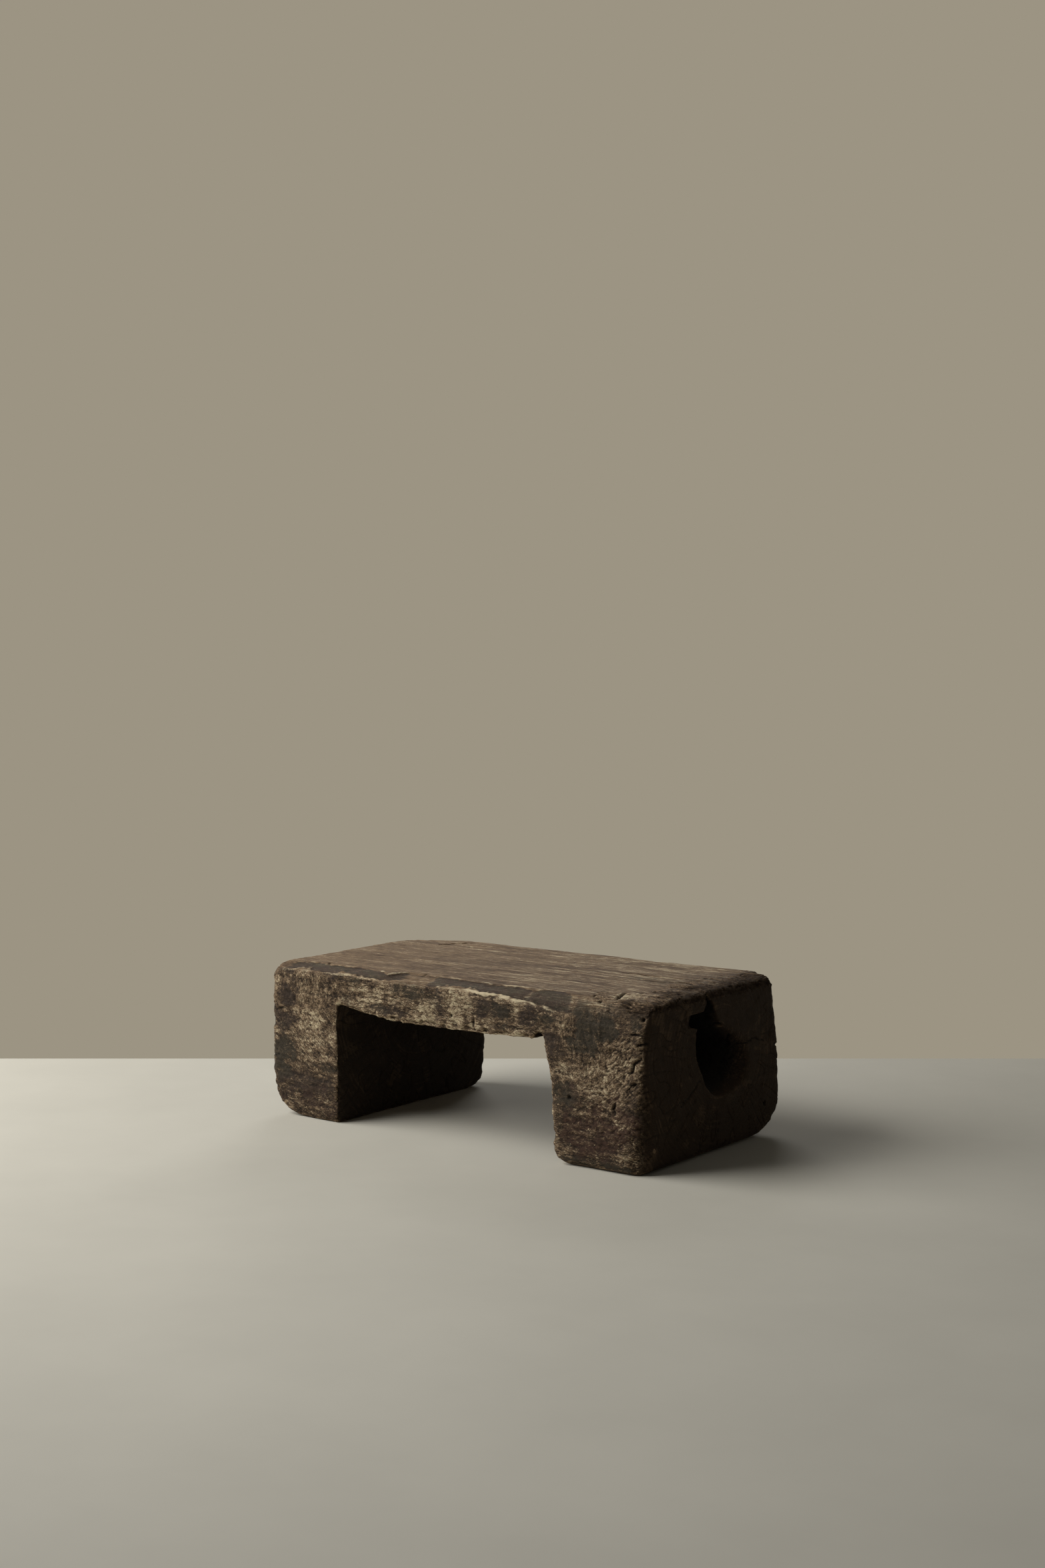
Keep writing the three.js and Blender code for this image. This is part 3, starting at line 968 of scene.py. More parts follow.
# The worn band's lips by the place along X: where each lies on its side, and how pale it is.
UPPER_LIP: tuple[Point2, ...] = (
    (-372, -176), (-344, -166), (-294, -154), (-258, -160), (-218, -157), (-169, -162), (-130, -174),
    (-109, -152), (-79, -146), (-45, -151), (13, -154), (70, -160), (117, -158), (149, -164),
    (180, -153), (215, -160), (250, -178), (262, -200),
)
LOWER_LIP: tuple[Point2, ...] = (
    (-372, 238), (-308, 241), (-264, 241), (-221, 244), (-151, 239), (-96, 240), (-42, 240),
    (11, 242), (37, 243), (89, 240), (139, 235), (164, 231), (197, 228), (224, 222),
)
UPPER_PALENESS: tuple[Point2, ...] = (
    (-372, 0.1), (-300, 0.3), (-150, 0.6), (-125, 0.9), (-62, 0.9), (-45, 0.5), (0, 0.6), (70, 0.7),
    (130, 0.7), (190, 0.4), (224, 0.0),
)
LOWER_PALENESS: tuple[Point2, ...] = (
    (-372, 0.1), (-330, 0.4), (-255, 0.4), (-200, 0.5), (-110, 0.35), (-40, 0.35), (35, 0.5), (62, 1.0),
    (160, 1.0), (195, 0.5), (224, 0.1),
)
# How dark the band is, by the place along X.
RUNS: tuple[Point2, ...] = (
    (-345, 0.0), (-328, 0.7), (-268, 0.7), (-248, 1.0), (-118, 1.0), (-92, 0.1), (-52, 0.1), (-34, 1.0),
    (132, 1.0), (147, 0.4), (160, 1.0), (222, 1.0), (250, 0.0),
)
# Where the front's fibres lie which way. From here on, places are on the side's own two axes, in millimetres.
LAYS: tuple[Lay, ...] = (
    Lay(Way.FALLING, (-290, 130), (80, 70)),
    Lay(Way.UPRIGHT, (-285, 212), (60, 28)),
    Lay(Way.LEVEL, (0, 210), (190, 40)),
    Lay(Way.FALLING, (215, 135), (28, 45)),
    Lay(Way.UPRIGHT, (250, 185), (42, 38)),
    Lay(Way.RISING, (345, 150), (34, 45)),
    Lay(Way.LEVEL, (290, 60), (90, 55)),
    Lay(Way.LEVEL, (-290, 40), (80, 35)),
)
SPLITS: dict[Face, tuple[Split, ...]] = {
    Face.TOP: (
        Split(((-266, 116), (-252, 142), (-226, 174)), 4.6, 5.0),
        Split(((-241, 47), (-222, 51)), 2.4, 2.0),
        Split(((-320, 68), (-300, 70)), 2.0, 1.5),
        Split(((-210, 131), (-196, 129)), 2.4, 2.0),
        Split(((158, 45), (196, 50), (244, 48), (296, 53)), 5.5, 3.0),
        Split(((288, 84), (312, 80), (338, 72)), 5.0, 2.8),
        Split(((270, 18), (300, 22), (330, 16)), 7.0, 3.4),
        Split(((312, -14), (340, -10), (364, 1)), 6.5, 3.6),
        Split(((218, 14), (250, 10), (287, 6)), 5.0, 2.2),
        Split(((116, 190), (134, 186), (152, 176)), 3.0, 3.0),
        Split(((299, -164), (289, -138), (277, -110)), 4.4, 4.8),
    ),
    Face.FRONT: (
        Split(((53, 203), (50, 192), (54, 178)), 2.0, 2.5),
        Split(((-371, 171), (-356, 172), (-338, 176)), 1.6, 1.8),
        Split(((-373, 96), (-362, 95), (-352, 97)), 1.8, 1.8),
        Split(((337, 204), (348, 206), (360, 207)), 2.2, 3.0),
        Split(((350, 190), (362, 194), (376, 192)), 3.2, 3.8),
        Split(((336, 146), (345, 152), (349, 163), (360, 174)), 2.4, 3.6),
        Split(((334, 122), (342, 130), (354, 134)), 2.0, 2.4),
        Split(((317, 104), (314, 93), (319, 80)), 2.2, 3.0),
        Split(((296, 158), (302, 146)), 2.6, 2.6),
    ),
    Face.RIGHT_END: (
        Split(((200, 140), (186, 137), (176, 139)), 2.2, 2.8),
        Split(((72, 150), (110, 158), (150, 149)), 2.0, 2.4),
        Split(((-40, 120), (-80, 96), (-110, 84)), 1.8, 1.8),
    ),
    Face.LEFT_END: (
        Split(((84, 196), (60, 182), (40, 176), (12, 158)), 1.6, 2.2),
        Split(((18, 162), (-14, 136), (-34, 106), (-72, 84)), 2.0, 2.8),
        Split(((-10, 262), (4, 222), (2, 198), (12, 160)), 3.0, 5.0),
        Split(((10, 164), (26, 128), (38, 112), (42, 64)), 2.2, 3.2),
        Split(((14, 152), (-14, 170), (-62, 182)), 1.6, 1.8),
    ),
    Face.BACK: (
        Split(((-120, 214), (-40, 220), (30, 217)), 2.4, 3.0),
        Split(((210, 170), (290, 176), (345, 172)), 2.4, 3.0),
        Split(((-340, 110), (-290, 116), (-240, 112)), 2.4, 3.0),
    ),
}
PITS: dict[Face, tuple[Pit, ...]] = {
    Face.TOP: (
        Pit((-272, -154), (2.6, 6), 3.0, 20),
        Pit((-75, -150), (2.0, 9), 2.6, -10),
        Pit((222, -119), (3.0, 2.6), 3.4),
        Pit((248, -143), (2.8, 2.6), 3.4),
        Pit((258, -158), (2.4, 2.4), 3.0),
        Pit((276, -172), (3.0, 3.2), 3.6),
        Pit((299, -99), (3.0, 2.6), 3.2),
        Pit((334, -70), (3.2, 2.6), 2.6),
    ),
    Face.FRONT: (
        Pit((177, 180), (6.5, 8.5), 8.0),
        Pit((-376, 152), (9, 8), 4.0),
        Pit((-376, 128), (7, 6), 3.0),
        Pit((358, 229), (3.0, 3.0), 3.6),
        Pit((8, 198), (2.6, 2.6), 4.0),
        Pit((235, 101), (3.2, 3.2), 3.0),
    ),
    Face.RIGHT_END: (
        Pit((142, 52), (3.4, 4.2), 4.0),
    ),
    Face.LEFT_END: (
        Pit((-190, 150), (10, 9), 4.0),
        Pit((-190, 176), (8, 5), 3.0),
    ),
    Face.BACK: (
        Pit((150, 120), (3, 3), 3.5),
        Pit((-310, 190), (3, 3), 3.5),
    ),
}
PALE_LINES: dict[Face, tuple[PaleLine, ...]] = {
    Face.FRONT: (
        PaleLine(((-228, 224), (-216, 207), (-207, 198), (-186, 185)), 1.6, 1.0),
        PaleLine(((-337, 229), (-343, 204)), 1.4, 0.8),
        PaleLine(((207, 101), (230, 102)), 1.6, 0.9),
        PaleLine(((221, 15), (265, 10)), 2.2, 0.8),
        PaleLine(((356, 188), (378, 191)), 1.6, 0.9),
        # Along the slab's lower arris: paler worn fibres, and a painted highlight where the edge catches the
        # light.
        PaleLine(
            ((-225, 193), (-193, 185), (-151, 183), (-124, 179), (-69, 180), (-16, 183), (11, 182), (37, 178),
             (88, 177), (114, 180), (126, 183), (139, 181), (164, 182)), 2.6, 0.9),
        PaleLine(((184, 176), (187, 160), (192, 140), (199, 110), (207, 60)), 2.2, 0.9),
    ),
    Face.TOP: (
        PaleLine(((288, -106), (306, -128), (326, -150)), 1.8, 1.0),
    ),
}
PATCHES: dict[tuple[Face, Tone], tuple[Patch, ...]] = {
    (Face.FRONT, Tone.MAUVE): (
        Patch((190, 232), (44, 16), 0.8, -6),
        Patch((-337, 238), (14, 6), 1.0),
        Patch((-334, 200), (18, 22), 1.1, 10),
        Patch((-344, 158), (22, 16), 1.1),
        Patch((-285, 55), (70, 24), 0.8),
        Patch((-232, 238), (26, 7), 0.9, -8),
        Patch((-115, 194), (28, 9), 0.95),
        Patch((-13, 216), (13, 18), 0.9, 8),
        Patch((84, 218), (26, 16), 1.1),
        Patch((157, 213), (13, 14), 1.0),
        Patch((297, 232), (22, 14), 0.9),
        Patch((203, 176), (16, 22), 0.85, 15),
        Patch((340, 100), (34, 40), 0.5),
    ),
    (Face.FRONT, Tone.LICHEN): (
        Patch((-345, 98), (24, 26), 1.2),
        Patch((-252, 86), (30, 9), 0.7),
        Patch((-188, 233), (15, 5), 0.8, -10),
        Patch((-62, 224), (36, 14), 0.9, -6),
        Patch((-130, 198), (14, 8), 0.7),
        Patch((104, 219), (20, 15), 0.8),
        Patch((111, 192), (15, 9), 0.9),
        Patch((187, 212), (14, 12), 0.9),
        Patch((274, 210), (42, 36), 1.5, 12),
        Patch((346, 224), (12, 14), 0.8),
        Patch((222, 98), (24, 17), 1.0),
        Patch((243, 13), (22, 5), 0.8),
        Patch((310, 8), (80, 7), 0.8),
    ),
    (Face.FRONT, Tone.RUST): (
        Patch((-272, 34), (70, 26), 0.4),
        Patch((288, 60), (86, 40), 0.6),
    ),
    # Painted shade at the gap's upper left corner.
    (Face.FRONT, Tone.SOOT): (
        Patch((-206, 202), (10, 16), 0.5, 35),
    ),
    (Face.FRONT, Tone.BLEACHED): (
        Patch((-350, 216), (8, 14), 0.9, 10),
        Patch((-270, 205), (42, 26), 0.45),
        Patch((-276, 140), (56, 34), 0.8, -24),
        Patch((-174, 223), (21, 10), 1.5, -8),
        Patch((-15, 206), (215, 36), 0.5),
        Patch((-45, 205), (30, 18), 1.3),
        Patch((-150, 210), (44, 14), 1.2),
        Patch((60, 188), (18, 8), 1.3),
        Patch((27, 212), (24, 28), 1.3),
        Patch((133, 220), (9, 16), 1.3),
        Patch((134, 184), (8, 5), 1.6, -20),
        Patch((221, 206), (13, 22), 0.8),
        Patch((224, 138), (24, 18), 0.8, -38),
        Patch((234, 180), (16, 24), 0.7),
        Patch((300, 128), (54, 42), 0.85),
        Patch((352, 28), (24, 10), 0.4),
    ),
    (Face.TOP, Tone.MAUVE): (
        Patch((-70, 0), (70, 40), 0.35),
        Patch((318, 84), (52, 60), 0.5),
    ),
    (Face.TOP, Tone.LICHEN): (
        Patch((250, 16), (40, 22), 1.0),
    ),
    (Face.TOP, Tone.BLEACHED): (
        Patch((66, 90), (52, 12), 0.8, 3),
        Patch((66, 6), (24, 6), 0.7),
        Patch((-143, 111), (7, 5), 1.0),
        Patch((314, -122), (50, 32), 0.85, -35),
    ),
    (Face.RIGHT_END, Tone.BLEACHED): (
        Patch((-169, 36), (3.6, 3.6), 1.1),
    ),
}


class NodeSheet:
    """The node tree of a material or of the world, under construction."""

    def __init__(self, owner: bpy.types.Material | bpy.types.World) -> None:
        """Empties the tree.

        Args:
            owner: the material or world whose tree it is.
        """
        owner.use_nodes = True
        self.tree = owner.node_tree
        self.tree.nodes.clear()

    def add(
            self, kind: str, inputs: dict | None = None, out: int | str = 0,
            **settings: object) -> Socket | None:
        """Adds a node with its settings, values and links.

        Args:
            kind: the node's Blender type, without the word ShaderNode that they all begin with.
            inputs: numbers, hex colours or other nodes' outputs, by the input's name or number.
            out: the name or number of the output that is wanted.
            settings: the node's own properties.

        Returns:
            That output, or None for a node without one.
        """
        node = self.tree.nodes.new("ShaderNode" + kind)
        for name, value in settings.items():
            setattr(node, name, value)
        for name, value in (inputs or {}).items():
            if isinstance(value, Socket):
                self.tree.links.new(value, node.inputs[name])
            else:
                node.inputs[name].default_value = linear(value) if isinstance(value, str) else value
        return node.outputs[out] if node.outputs else None

    def weighed(self, start: Socket | float, *terms: tuple[Socket, Socket | float]) -> Socket:
        """Adds up numbers that each count by a weight.

        Args:
            start: what the sum begins with.
            terms: pairs of a number and its weight.

        Returns:
            The sum.
        """
        total = start
        for number, weight in terms:
            total = self.add("Math", {0: number, 1: weight, 2: total}, operation="MULTIPLY_ADD")
        return total

    def laid(self, base: Socket | str, *coats: tuple[Socket, Socket | str]) -> Socket:
        """Lays coats over a base colour, one after the other.

        Args:
            base: the colour below.
            coats: pairs of how far a coat covers, from 0 to 1, and its colour.

        Returns:
            The colour on top.
        """
        for share, colour in coats:
            base = self.add("Mix", {0: share, 6: base, 7: colour}, 2, data_type="RGBA")
        return base

    def toned(self, value: Socket, base: Socket | str, *steps: tuple) -> Socket:
        """Colours a running value, each step going over the last.

        Args:
            value: the number that chooses the colour.
            base: the colour below all steps.
            steps: where a colour begins, where it covers most, the colour, and that most where it isn't 1.

        Returns:
            The colour on top.
        """
        for low, high, colour, *most in steps:
            span = {0: value, 1: low, 2: high, 3: 0.0, 4: most[0] if most else 1.0}
            base = self.laid(base, (self.add("MapRange", span, **EASED), colour))
        return base

    def pattern(
            self, place: Socket, size: Point3, tilt: float = 0.0, detail: float = 2.0, roughness: float = 0.5,
            out: str = "Fac") -> Socket:
        """Draws a noise whose features have a real size.

        Args:
            place: where each point is, in metres.
            size: the features' sizes along the three axes, in millimetres.
            tilt: how far they are turned about Y, in degrees.
            detail: how many finer copies are added.
            roughness: how much each finer copy counts.
            out: the noise's number or its colour.

        Returns:
            The noise, with a middle of 0.5.
        """
        turn = (0, -math.radians(tilt), 0)
        scale = [length * MM for length in size]
        cell = self.add("Mapping", {"Vector": place, "Rotation": turn, "Scale": scale}, vector_type="TEXTURE")
        return self.add(
            "TexNoise", {"Vector": cell, "Scale": 1.0, "Detail": detail, "Roughness": roughness}, out)

    def creases(self, noise: Socket, width: float) -> Socket:
        """Draws thin lines where a noise crosses its middle.

        Args:
            noise: the noise.
            width: how far from its middle a line fades out.

        Returns:
            1 on the lines and 0 off them.
        """
        middle = self.add("Math", {0: noise, 1: 0.5}, operation="SUBTRACT")
        away = self.add("Math", {0: middle}, operation="ABSOLUTE")
        return self.add("MapRange", {0: away, 1: 0.0, 2: width, 3: 1.0, 4: 0.0}, **EASED)

    def stirred(
            self, place: Socket, size: float, roughness: float, *pulls: tuple[Socket, float]) -> list[Socket]:
        """Moves places about by one noise.

        Args:
            place: where the noise is read.
            size: the noise's features, in millimetres.
            roughness: how much its finer copies count.
            pulls: pairs of places to move and how far, in millimetres.

        Returns:
            The moved places.
        """
        colour = self.pattern(place, (size, size, size), roughness=roughness, out="Color")
        drift = self.add("VectorMath", {0: colour, 1: (0.5, 0.5, 0.5)}, operation="SUBTRACT")
        return [
            self.add("VectorMath", {0: drift, 1: (reach * MM,) * 3, 2: start}, operation="MULTIPLY_ADD")
            for start, reach in pulls
        ]


@dataclass(frozen=True)
class AgedHardwood:
    """Old bare hardwood, hewn, worn and left outdoors.

    Dull and rough all over: grey-brown ground, sun-bleached raised fibres, dark split lines of painted shade,
    and darker end grain, partly its own tone and partly painted shade. The smoother streaks have a low sheen
    from use. The patterns' sizes are millimetres along X, Y and Z. Torn fibres, dashes and grit are 1.7 mm
    wide, about twice as coarse as real ones, which would be too fine to show.
    """

    name: str = "aged_bare_hardwood"
    ground: str = "604e3b"
    hollows: str = "30251b"
    tan: str = "927b60"
    seat_top: str = "705b45"
    seat_light: str = "8c7559"
    seat_dark: str = "4e3e2f"
    bleached: str = "cebd9b"
    mauve: str = "44382f"
    lichen: str = "443d31"
    rust: str = "543b2f"
    # Darker than the end grain's own tone, partly painted shade for the ends that stand in shade.
    end_grain: str = "34271b"
    # Near-black painted shade: the hollow's depths, splits, pits, a shaded corner and the legs' inner faces.
    soot: str = "100c09"
    fibre: Point3 = (9.0, 5.1, 1.7)
    fold: Point3 = (14.0, 8.0, 6.0)
    crack: Point3 = (9.0, 6.0, 3.6)
    streak: Point3 = (120.0, 2.4, 2.4)
    dash: Point3 = (15.0, 1.7, 1.7)
    cloud: Point3 = (130.0, 24.0, 24.0)
    mottle: Point3 = (24.0, 17.0, 15.0)
    speck: Point3 = (3.2, 2.6, 2.6)
    grit: Point3 = (1.7, 1.4, 1.4)
    ring: float = 3.4
    heart: Point3 = (0.0, 12.0, 160.0)
    bump: float = 1.6

    def patterns(self, sheet: NodeSheet) -> dict[str, Socket]:
        """Draws the noises that the colours share.

        Args:
            sheet: the material's nodes.

        Returns:
            The timber's marks and the noises, by name.
        """
        place = sheet.add("TexCoord", out="Object")
        marks = {
            name: sheet.add("Attribute", out="Fac", attribute_name=name)
            for name in (
                "bleached", "mauve", "lichen", "rust", "soot", "top", "front", "end_grain", "hollow", "run",
                "lip", "rough", "near_floor", "relief", "falling", "upright", "rising")
        }
        bent, lean = sheet.stirred(place, 42, 0.5, (place, 11.0), (place, 4.4))
        torn, = sheet.stirred(place, 8, 0.6, (bent, 9.0))
        # Torn fibres lie four ways on the front, and level streaks take their place on the other sides.
        fibre = sheet.pattern(torn, self.fibre, Way.LEVEL.value[1], 4.0, 0.68)
        for way in (Way.FALLING, Way.UPRIGHT, Way.RISING):
            lain = sheet.pattern(torn, self.fibre, way.value[1], 4.0, 0.68)
            fibre = sheet.add("Mix", {0: marks[way.value[0]], 2: fibre, 3: lain})
        streak = sheet.pattern(lean, self.streak, 0.0, 4.0, 0.62)
        fold = sheet.creases(sheet.pattern(torn, self.fold, 20.0, 4.0, 0.6), 0.035)
        crack = sheet.creases(sheet.pattern(torn, self.crack, 34.0, 3.0, 0.6), 0.03)
        crack = sheet.add("Math", {0: crack, 1: marks["front"]}, operation="MULTIPLY")
        stained = sheet.add("Math", {0: marks["lichen"], 1: marks["rust"]}, operation="MAXIMUM")
        return marks | {
            "bent": bent,
            "across": sheet.add("SeparateXYZ", {0: place}),
            "fibre": sheet.add("Mix", {0: marks["front"], 2: streak, 3: fibre}),
            "streak": streak,
            "crease": sheet.weighed(fold, (crack, 0.8)),
            "dash": sheet.pattern(lean, self.dash, 0.0, 3.0, 0.65),
            "cloud": sheet.pattern(lean, self.cloud, 0.0, 4.0, 0.6),
            "mottle": sheet.pattern(bent, self.mottle, 0.0, 6.0, 0.66),
            "speck": sheet.pattern(place, self.speck, 0.0, 3.0, 0.7),
            "grit": sheet.pattern(place, self.grit, 0.0, 2.0, 0.6),
            "stained": sheet.add("Math", {0: marks["mauve"], 1: stained}, operation="MAXIMUM"),
        }

    def side_wood(self, sheet: NodeSheet, seen: dict[str, Socket]) -> Socket:
        """Colours the hewn sides.

        One running value goes from the dark hollows through ground and tan to the bleached fibres. Creases
        and sunk places push it down as painted shade, and raised tips push it up, partly wear and partly
        painted highlight. Stains cover its darker part, and scratches of bare fibre lie over them.

        Args:
            sheet: the material's nodes.
            seen: the marks and noises.

        Returns:
            The sides' colour.
        """
        # crease and relief paint shade into creases and sunk places, and relief paints raised tips paler.
        value = sheet.weighed(
            -1.33, (seen["fibre"], 1.7), (seen["mottle"], 1.25), (seen["speck"], 0.35), (seen["grit"], 0.4),
            (seen["crease"], -0.22), (seen["relief"], 0.12), (seen["bleached"], 0.26),
            (seen["stained"], -0.20), (seen["near_floor"], -0.08))
        body = sheet.toned(
            value, self.hollows, (0.16, 0.48, self.ground), (0.46, 0.72, self.tan),
            (0.70, 1.0, self.bleached))
        darker = sheet.add("MapRange", {0: value, 1: 0.80, 2: 0.35, 3: 0.15, 4: 0.82}, **EASED)
        for name, colour in (("mauve", self.mauve), ("lichen", self.lichen), ("rust", self.rust)):
            cover = sheet.weighed(0.78, (seen[name], 1.0), (seen["mottle"], -0.9), (seen["fibre"], -0.7))
            cover = sheet.add("MapRange", {0: cover, 1: 0.15, 2: 0.95}, **EASED)
            cover = sheet.add("Math", {0: cover, 1: darker}, operation="MULTIPLY")
            body = sheet.laid(body, (cover, colour))
        scratch = sheet.weighed(
            seen["fibre"], (seen["mottle"], 0.3), (seen["bleached"], 0.06), (seen["stained"], -0.12))
        return sheet.toned(scratch, body, (0.71, 0.84, self.bleached, 0.95))

    def seat_wood(self, sheet: NodeSheet, seen: dict[str, Socket]) -> Socket:
        """Colours the seat's top: fine streaks over broad clouds, stronger to the right, and faint stains.

        Args:
            sheet: the material's nodes.
            seen: the marks and noises.

        Returns:
            The top's colour.
        """
        strength = sheet.add("MapRange", {0: seen["across"], 1: -0.15, 2: 0.15, 3: 0.8, 4: 2.5}, **EASED)
        streak = sheet.add("Math", {0: seen["streak"], 1: 0.5}, operation="SUBTRACT")
        value = sheet.weighed(
            -0.91, (streak, strength), (seen["dash"], 1.4), (seen["cloud"], 1.0), (seen["mottle"], 0.4),
            (seen["grit"], 0.4), (seen["bleached"], 0.16))
        crown = sheet.toned(
            value, self.seat_dark, (0.36, 0.62, self.seat_top), (0.62, 0.86, self.seat_light),
            (0.88, 1.1, self.bleached))
        for name, colour in (("lichen", self.lichen), ("mauve", self.mauve)):
            half = sheet.add("Math", {0: seen[name], 1: 0.5}, operation="MULTIPLY")
            crown = sheet.laid(crown, (half, colour))
        return crown

    def worn_band(self, sheet: NodeSheet, seen: dict[str, Socket], colour: Socket) -> Socket:
        """Lays the worn band over a colour: smooth dark runs between pale frayed lips.

        Args:
            sheet: the material's nodes.
            seen: the marks and noises.
            colour: the colour below.

        Returns:
            The colour with the band.
        """
        worn = sheet.toned(seen["mottle"], self.mauve, (0.46, 0.60, self.lichen))
        grain = sheet.weighed(seen["dash"], (seen["grit"], 1.0))
        worn = sheet.toned(grain, worn, (1.08, 1.36, self.tan, 0.8))
        runs = sheet.weighed(0.0, (seen["run"], 1.5), (seen["mottle"], -0.6))
        lips = sheet.weighed(0.0, (seen["lip"], 0.7), (seen["fibre"], 0.9))
        banded = sheet.toned(runs, colour, (0.0, 0.65, worn, 0.92))
        return sheet.toned(lips, banded, (0.56, 1.0, self.bleached))

    def crumbled_end(self, sheet: NodeSheet, seen: dict[str, Socket], colour: Socket) -> Socket:
        """Lays the crumbling right end of the top over a colour, darker towards its border.

        Args:
            sheet: the material's nodes.
            seen: the marks and noises.
            colour: the colour below.

        Returns:
            The colour with the crumbs.
        """
        border = sheet.weighed(-0.06, (seen["across"], 1.0), (seen["mottle"], 0.12))
        border = sheet.add("MapRange", {0: border, 1: 0.285, 2: 0.345, 3: 0.0, 4: 0.34}, **EASED)
        # relief paints shade into the sunk crumbs and lightens the raised ones.
        crumb = sheet.weighed(
            seen["speck"], (seen["dash"], 0.6), (seen["relief"], 0.16), (seen["bleached"], 0.34),
            (border, -1.0))
        crumbs = sheet.toned(
            crumb, self.hollows, (0.56, 0.86, self.ground), (0.82, 0.98, self.tan),
            (0.98, 1.12, self.bleached))
        cover = sheet.add("MapRange", {0: seen["mottle"], 1: 0.34, 2: 0.50, 3: 0.55, 4: 0.96}, **EASED)
        cover = sheet.add("Math", {0: seen["rough"], 1: cover}, operation="MULTIPLY")
        return sheet.laid(colour, (cover, crumbs))

    def end_wood(self, sheet: NodeSheet, seen: dict[str, Socket]) -> Socket:
        """Colours the end grain by growth rings round the heart, and paints shade on the legs' inner faces
        under the seat.

        Args:
            sheet: the material's nodes.
            seen: the marks and noises.

        Returns:
            The ends' colour.
        """
        heart = tuple(length * MM for length in self.heart)
        away = sheet.add("VectorMath", {0: seen["bent"], 1: heart}, operation="SUBTRACT")
        away = sheet.add("VectorMath", {0: away, 1: (0, 1, 1)}, operation="MULTIPLY")
        radius = sheet.add("VectorMath", {0: away}, "Value", operation="LENGTH")
        turns = sheet.add("Math", {0: radius, 1: self.ring * MM}, operation="DIVIDE")
        turns = sheet.add("CombineXYZ", {0: turns})
        rings = sheet.add("TexNoise", {"Vector": turns, "Scale": 1.0, "Detail": 2.0, "Roughness": 0.6}, "Fac")
        # relief paints shade into sunk places and lightens raised ones.
        value = sheet.weighed(
            seen["mottle"], (rings, 0.7), (seen["relief"], 0.10), (seen["bleached"], 0.25),
            (seen["stained"], -0.15))
        ends = sheet.toned(value, self.hollows, (0.60, 0.90, self.end_grain), (0.90, 1.15, self.ground, 0.7))
        ends = sheet.toned(seen["bleached"], ends, (0.75, 1.0, self.tan))
        # Painted shade on the legs' inner faces, which stand under the seat.
        away = sheet.add("Math", {0: seen["across"]}, operation="ABSOLUTE")
        inner = sheet.add("MapRange", {0: away, 1: 0.29, 2: 0.33, 3: 0.4, 4: 0.0}, **EASED)
        return sheet.laid(ends, (inner, self.soot))

    def shaded(self, sheet: NodeSheet, seen: dict[str, Socket], colour: Socket) -> Socket:
        """Paints shade into a colour where the surface is sunk, and speckles it.

        Args:
            sheet: the material's nodes.
            seen: the marks and noises.
            colour: the colour below.

        Returns:
            The darkened colour.
        """
        sunk = sheet.add("MapRange", {0: seen["relief"], 1: -0.9, 2: 0.1, 3: 0.66, 4: 1.0}, **EASED)
        specks = sheet.add("MapRange", {0: seen["speck"], 1: 0.3, 2: 0.55, 3: 0.84, 4: 1.04}, **EASED)
        shade = sheet.add("Math", {0: sunk, 1: specks}, operation="MULTIPLY")
        grey = sheet.add("CombineColor", {0: shade, 1: shade, 2: shade})
        return sheet.add("Mix", {0: 1.0, 6: colour, 7: grey}, 2, data_type="RGBA", blend_type="MULTIPLY")

    def roughened(self, sheet: NodeSheet, seen: dict[str, Socket]) -> Socket:
        """Raises streaks, specks and grit everywhere, and fibres with sunk creases off the smooth top.

        Args:
            sheet: the material's nodes.
            seen: the marks and noises.

        Returns:
            The bumped normal.
        """
        untrodden = sheet.add("Math", {0: 1.0, 1: seen["top"]}, operation="SUBTRACT")
        height = sheet.weighed(
            0.0, (sheet.weighed(seen["fibre"], (seen["crease"], -0.35)), untrodden), (seen["streak"], 0.7),
            (seen["dash"], 0.4), (seen["speck"], 0.5), (seen["grit"], 0.3))
        return sheet.add("Bump", {"Height": height, "Strength": 1.0, "Distance": self.bump * MM})

    def build(self) -> bpy.types.Material:
        """Makes the material, which reads Object coordinates and the timber's marks.

        Returns:
            The material.
        """
        material = bpy.data.materials.new(self.name)
        sheet = NodeSheet(material)
        seen = self.patterns(sheet)
        colour = sheet.laid(self.side_wood(sheet, seen), (seen["top"], self.seat_wood(sheet, seen)))
        colour = self.worn_band(sheet, seen, colour)
        colour = self.crumbled_end(sheet, seen, colour)
        # Painted shade: the hollow's walls by their depth, and the splits, pits and shaded corner go near
        # black.
        recess_shade = sheet.add("Math", {0: seen["soot"], 1: 0.85}, operation="MULTIPLY")
        colour = sheet.laid(
            colour, (seen["end_grain"], self.end_wood(sheet, seen)), (seen["hollow"], self.soot),
            (recess_shade, self.soot))
        dull = sheet.add("MapRange", {0: seen["streak"], 1: 0.3, 2: 0.7, 3: 0.88, 4: 0.74}, **EASED)
        surface = sheet.add("BsdfPrincipled", {
            "Base Color": self.shaded(sheet, seen, colour),
            "Roughness": sheet.add("Math", {0: dull, 1: seen["rough"]}, operation="MAXIMUM"),
            "IOR": 1.5,
            "Specular IOR Level": 0.2,
            "Normal": self.roughened(sheet, seen),
        })
        sheet.add("OutputMaterial", {"Surface": surface})
        return material


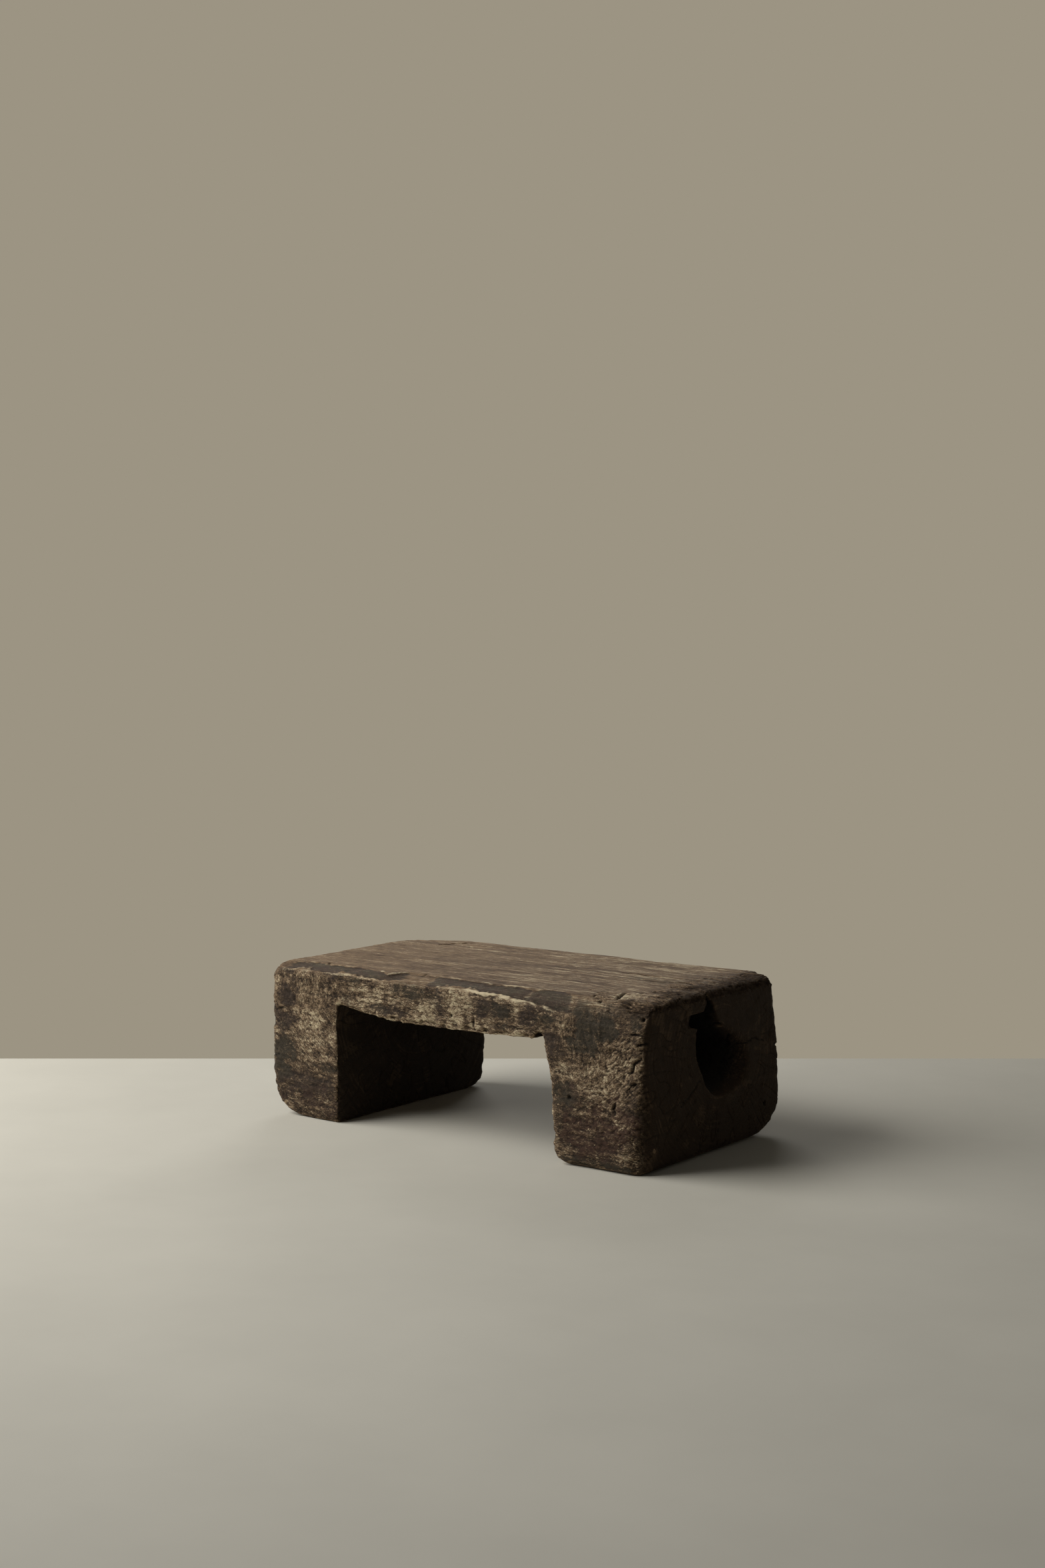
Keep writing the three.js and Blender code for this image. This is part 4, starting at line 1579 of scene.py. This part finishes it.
@dataclass(frozen=True)
class Lamp:
    """A square soft lamp that looks at the stool: its place and size in metres, and its watts."""

    name: str
    place: Point3
    size: float
    watts: float
    target: Point3 = (0.0, 0.0, 0.15)

    def hang(self) -> None:
        """Hangs the lamp."""
        data = bpy.data.lights.new(self.name, "AREA")
        data.shape = "SQUARE"
        data.size = self.size
        data.energy = self.watts
        lamp = bpy.data.objects.new(self.name, data)
        lamp.location = self.place
        lamp.rotation_mode = "QUATERNION"
        lamp.rotation_quaternion = (Vector(self.target) - Vector(self.place)).to_track_quat("-Z", "Y")
        bpy.context.scene.collection.objects.link(lamp)


@dataclass(frozen=True)
class Studio:
    """The plain pale floor, the soft light and the camera. Lengths are metres, angles degrees."""

    floor_colour: str = "cac5b6"
    wall_tone: str = "9c9483"
    floor_far: float = 3.99
    floor_near: float = 7.0
    floor_half: float = 7.0
    fill: float = 0.048
    eye: Point3 = (2.0878, -2.7748, 0.7803)
    heading: float = -36.91
    dip: float = 3.88
    lens: float = 50.0
    sensor: float = 36.0
    lamps: tuple[Lamp, ...] = (
        Lamp("window", (-2.0, -1.55, 2.0), 2.7, 119.0),
        Lamp("back_fill", (-1.6, 2.4, 1.6), 1.4, 18.0),
    )

    def camera(self) -> None:
        """Sets the camera where the photograph was taken from."""
        data = bpy.data.cameras.new("eye")
        data.lens = self.lens
        data.sensor_width = self.sensor
        data.sensor_fit = "AUTO"
        data.clip_end = 50
        camera = bpy.data.objects.new("eye", data)
        camera.location = self.eye
        camera.rotation_euler = (math.radians(90 - self.dip), 0, math.radians(-self.heading))
        bpy.context.scene.collection.objects.link(camera)
        bpy.context.scene.camera = camera

    def limewash(self) -> bpy.types.Material:
        """Makes the floor's material: pale limewash, matt and faintly clouded.

        Returns:
            The material.
        """
        material = bpy.data.materials.new("pale_limewashed_floor")
        sheet = NodeSheet(material)
        place = sheet.add("TexCoord", out="Object")
        cloud = sheet.add("TexNoise", {"Vector": place, "Scale": 2.2, "Detail": 5.0, "Roughness": 0.6}, "Fac")
        shade = sheet.add("MapRange", {0: cloud, 1: 0.3, 2: 0.7, 3: 0.94, 4: 1.04})
        tint = sheet.add("CombineColor", {0: shade, 1: shade, 2: shade})
        colour = sheet.add(
            "Mix", {0: 1.0, 6: self.floor_colour, 7: tint}, 2, data_type="RGBA", blend_type="MULTIPLY")
        surface = sheet.add("BsdfPrincipled", {"Base Color": colour, "Roughness": 0.8})
        sheet.add("OutputMaterial", {"Surface": surface})
        return material

    def floor(self) -> None:
        """Lays a plain floor that ends across the view, where the photograph's wall begins."""
        turn = math.radians(self.heading)
        ahead = np.array((math.sin(turn), math.cos(turn), 0.0))
        aside = np.array((ahead[1], -ahead[0], 0.0))
        foot = np.array((self.eye[0], self.eye[1], 0.0))
        corners = [
            foot + ahead * far + aside * side
            for far, side in (
                (-self.floor_near, -self.floor_half), (-self.floor_near, self.floor_half),
                (self.floor_far, self.floor_half), (self.floor_far, -self.floor_half))
        ]
        mesh = bpy.data.meshes.new("floor")
        mesh.from_pydata([tuple(c) for c in corners], [], [(0, 1, 2, 3)])
        mesh.materials.append(self.limewash())
        floor = bpy.data.objects.new("floor", mesh)
        bpy.context.scene.collection.objects.link(floor)

    def air(self) -> None:
        """Fills the shade with a little light, and shows the plain wall tone behind the floor."""
        world = bpy.data.worlds.new("studio_air")
        bpy.context.scene.world = world
        sheet = NodeSheet(world)
        glossy = sheet.add("LightPath", out="Is Glossy Ray")
        through = sheet.add("LightPath", out="Is Transmission Ray")
        direct = sheet.add("LightPath", out="Is Camera Ray")
        mirrored = sheet.add("Math", {0: glossy, 1: through}, operation="MAXIMUM")
        seen = sheet.add("Math", {0: direct, 1: mirrored}, operation="MAXIMUM")
        fill = sheet.add("Background", {"Color": "ffffff", "Strength": self.fill})
        wall = sheet.add("Background", {"Color": self.wall_tone})
        both = sheet.add("MixShader", {0: seen, 1: fill, 2: wall})
        sheet.add("OutputWorld", {0: both})

    def build(self) -> None:
        """Sets up everything that isn't the stool."""
        self.camera()
        self.floor()
        for lamp in self.lamps:
            lamp.hang()
        self.air()
        bpy.context.scene.view_settings.view_transform = "Standard"


def main() -> None:
    """Builds the stool and its studio."""
    logging.basicConfig(level=logging.INFO, format="%(name)s: %(message)s")
    wood = AgedHardwood().build()
    for node, piece in WornTimber().build().items():
        piece.data.materials.append(wood)
        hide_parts(node)
        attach(piece, ROOT_BODY)
        triangles = sum(len(p.vertices) - 2 for p in piece.data.polygons)
        LOG.info("%s has %d triangles", piece.name, triangles)
    Studio().build()


if __name__ == "__main__":
    main()
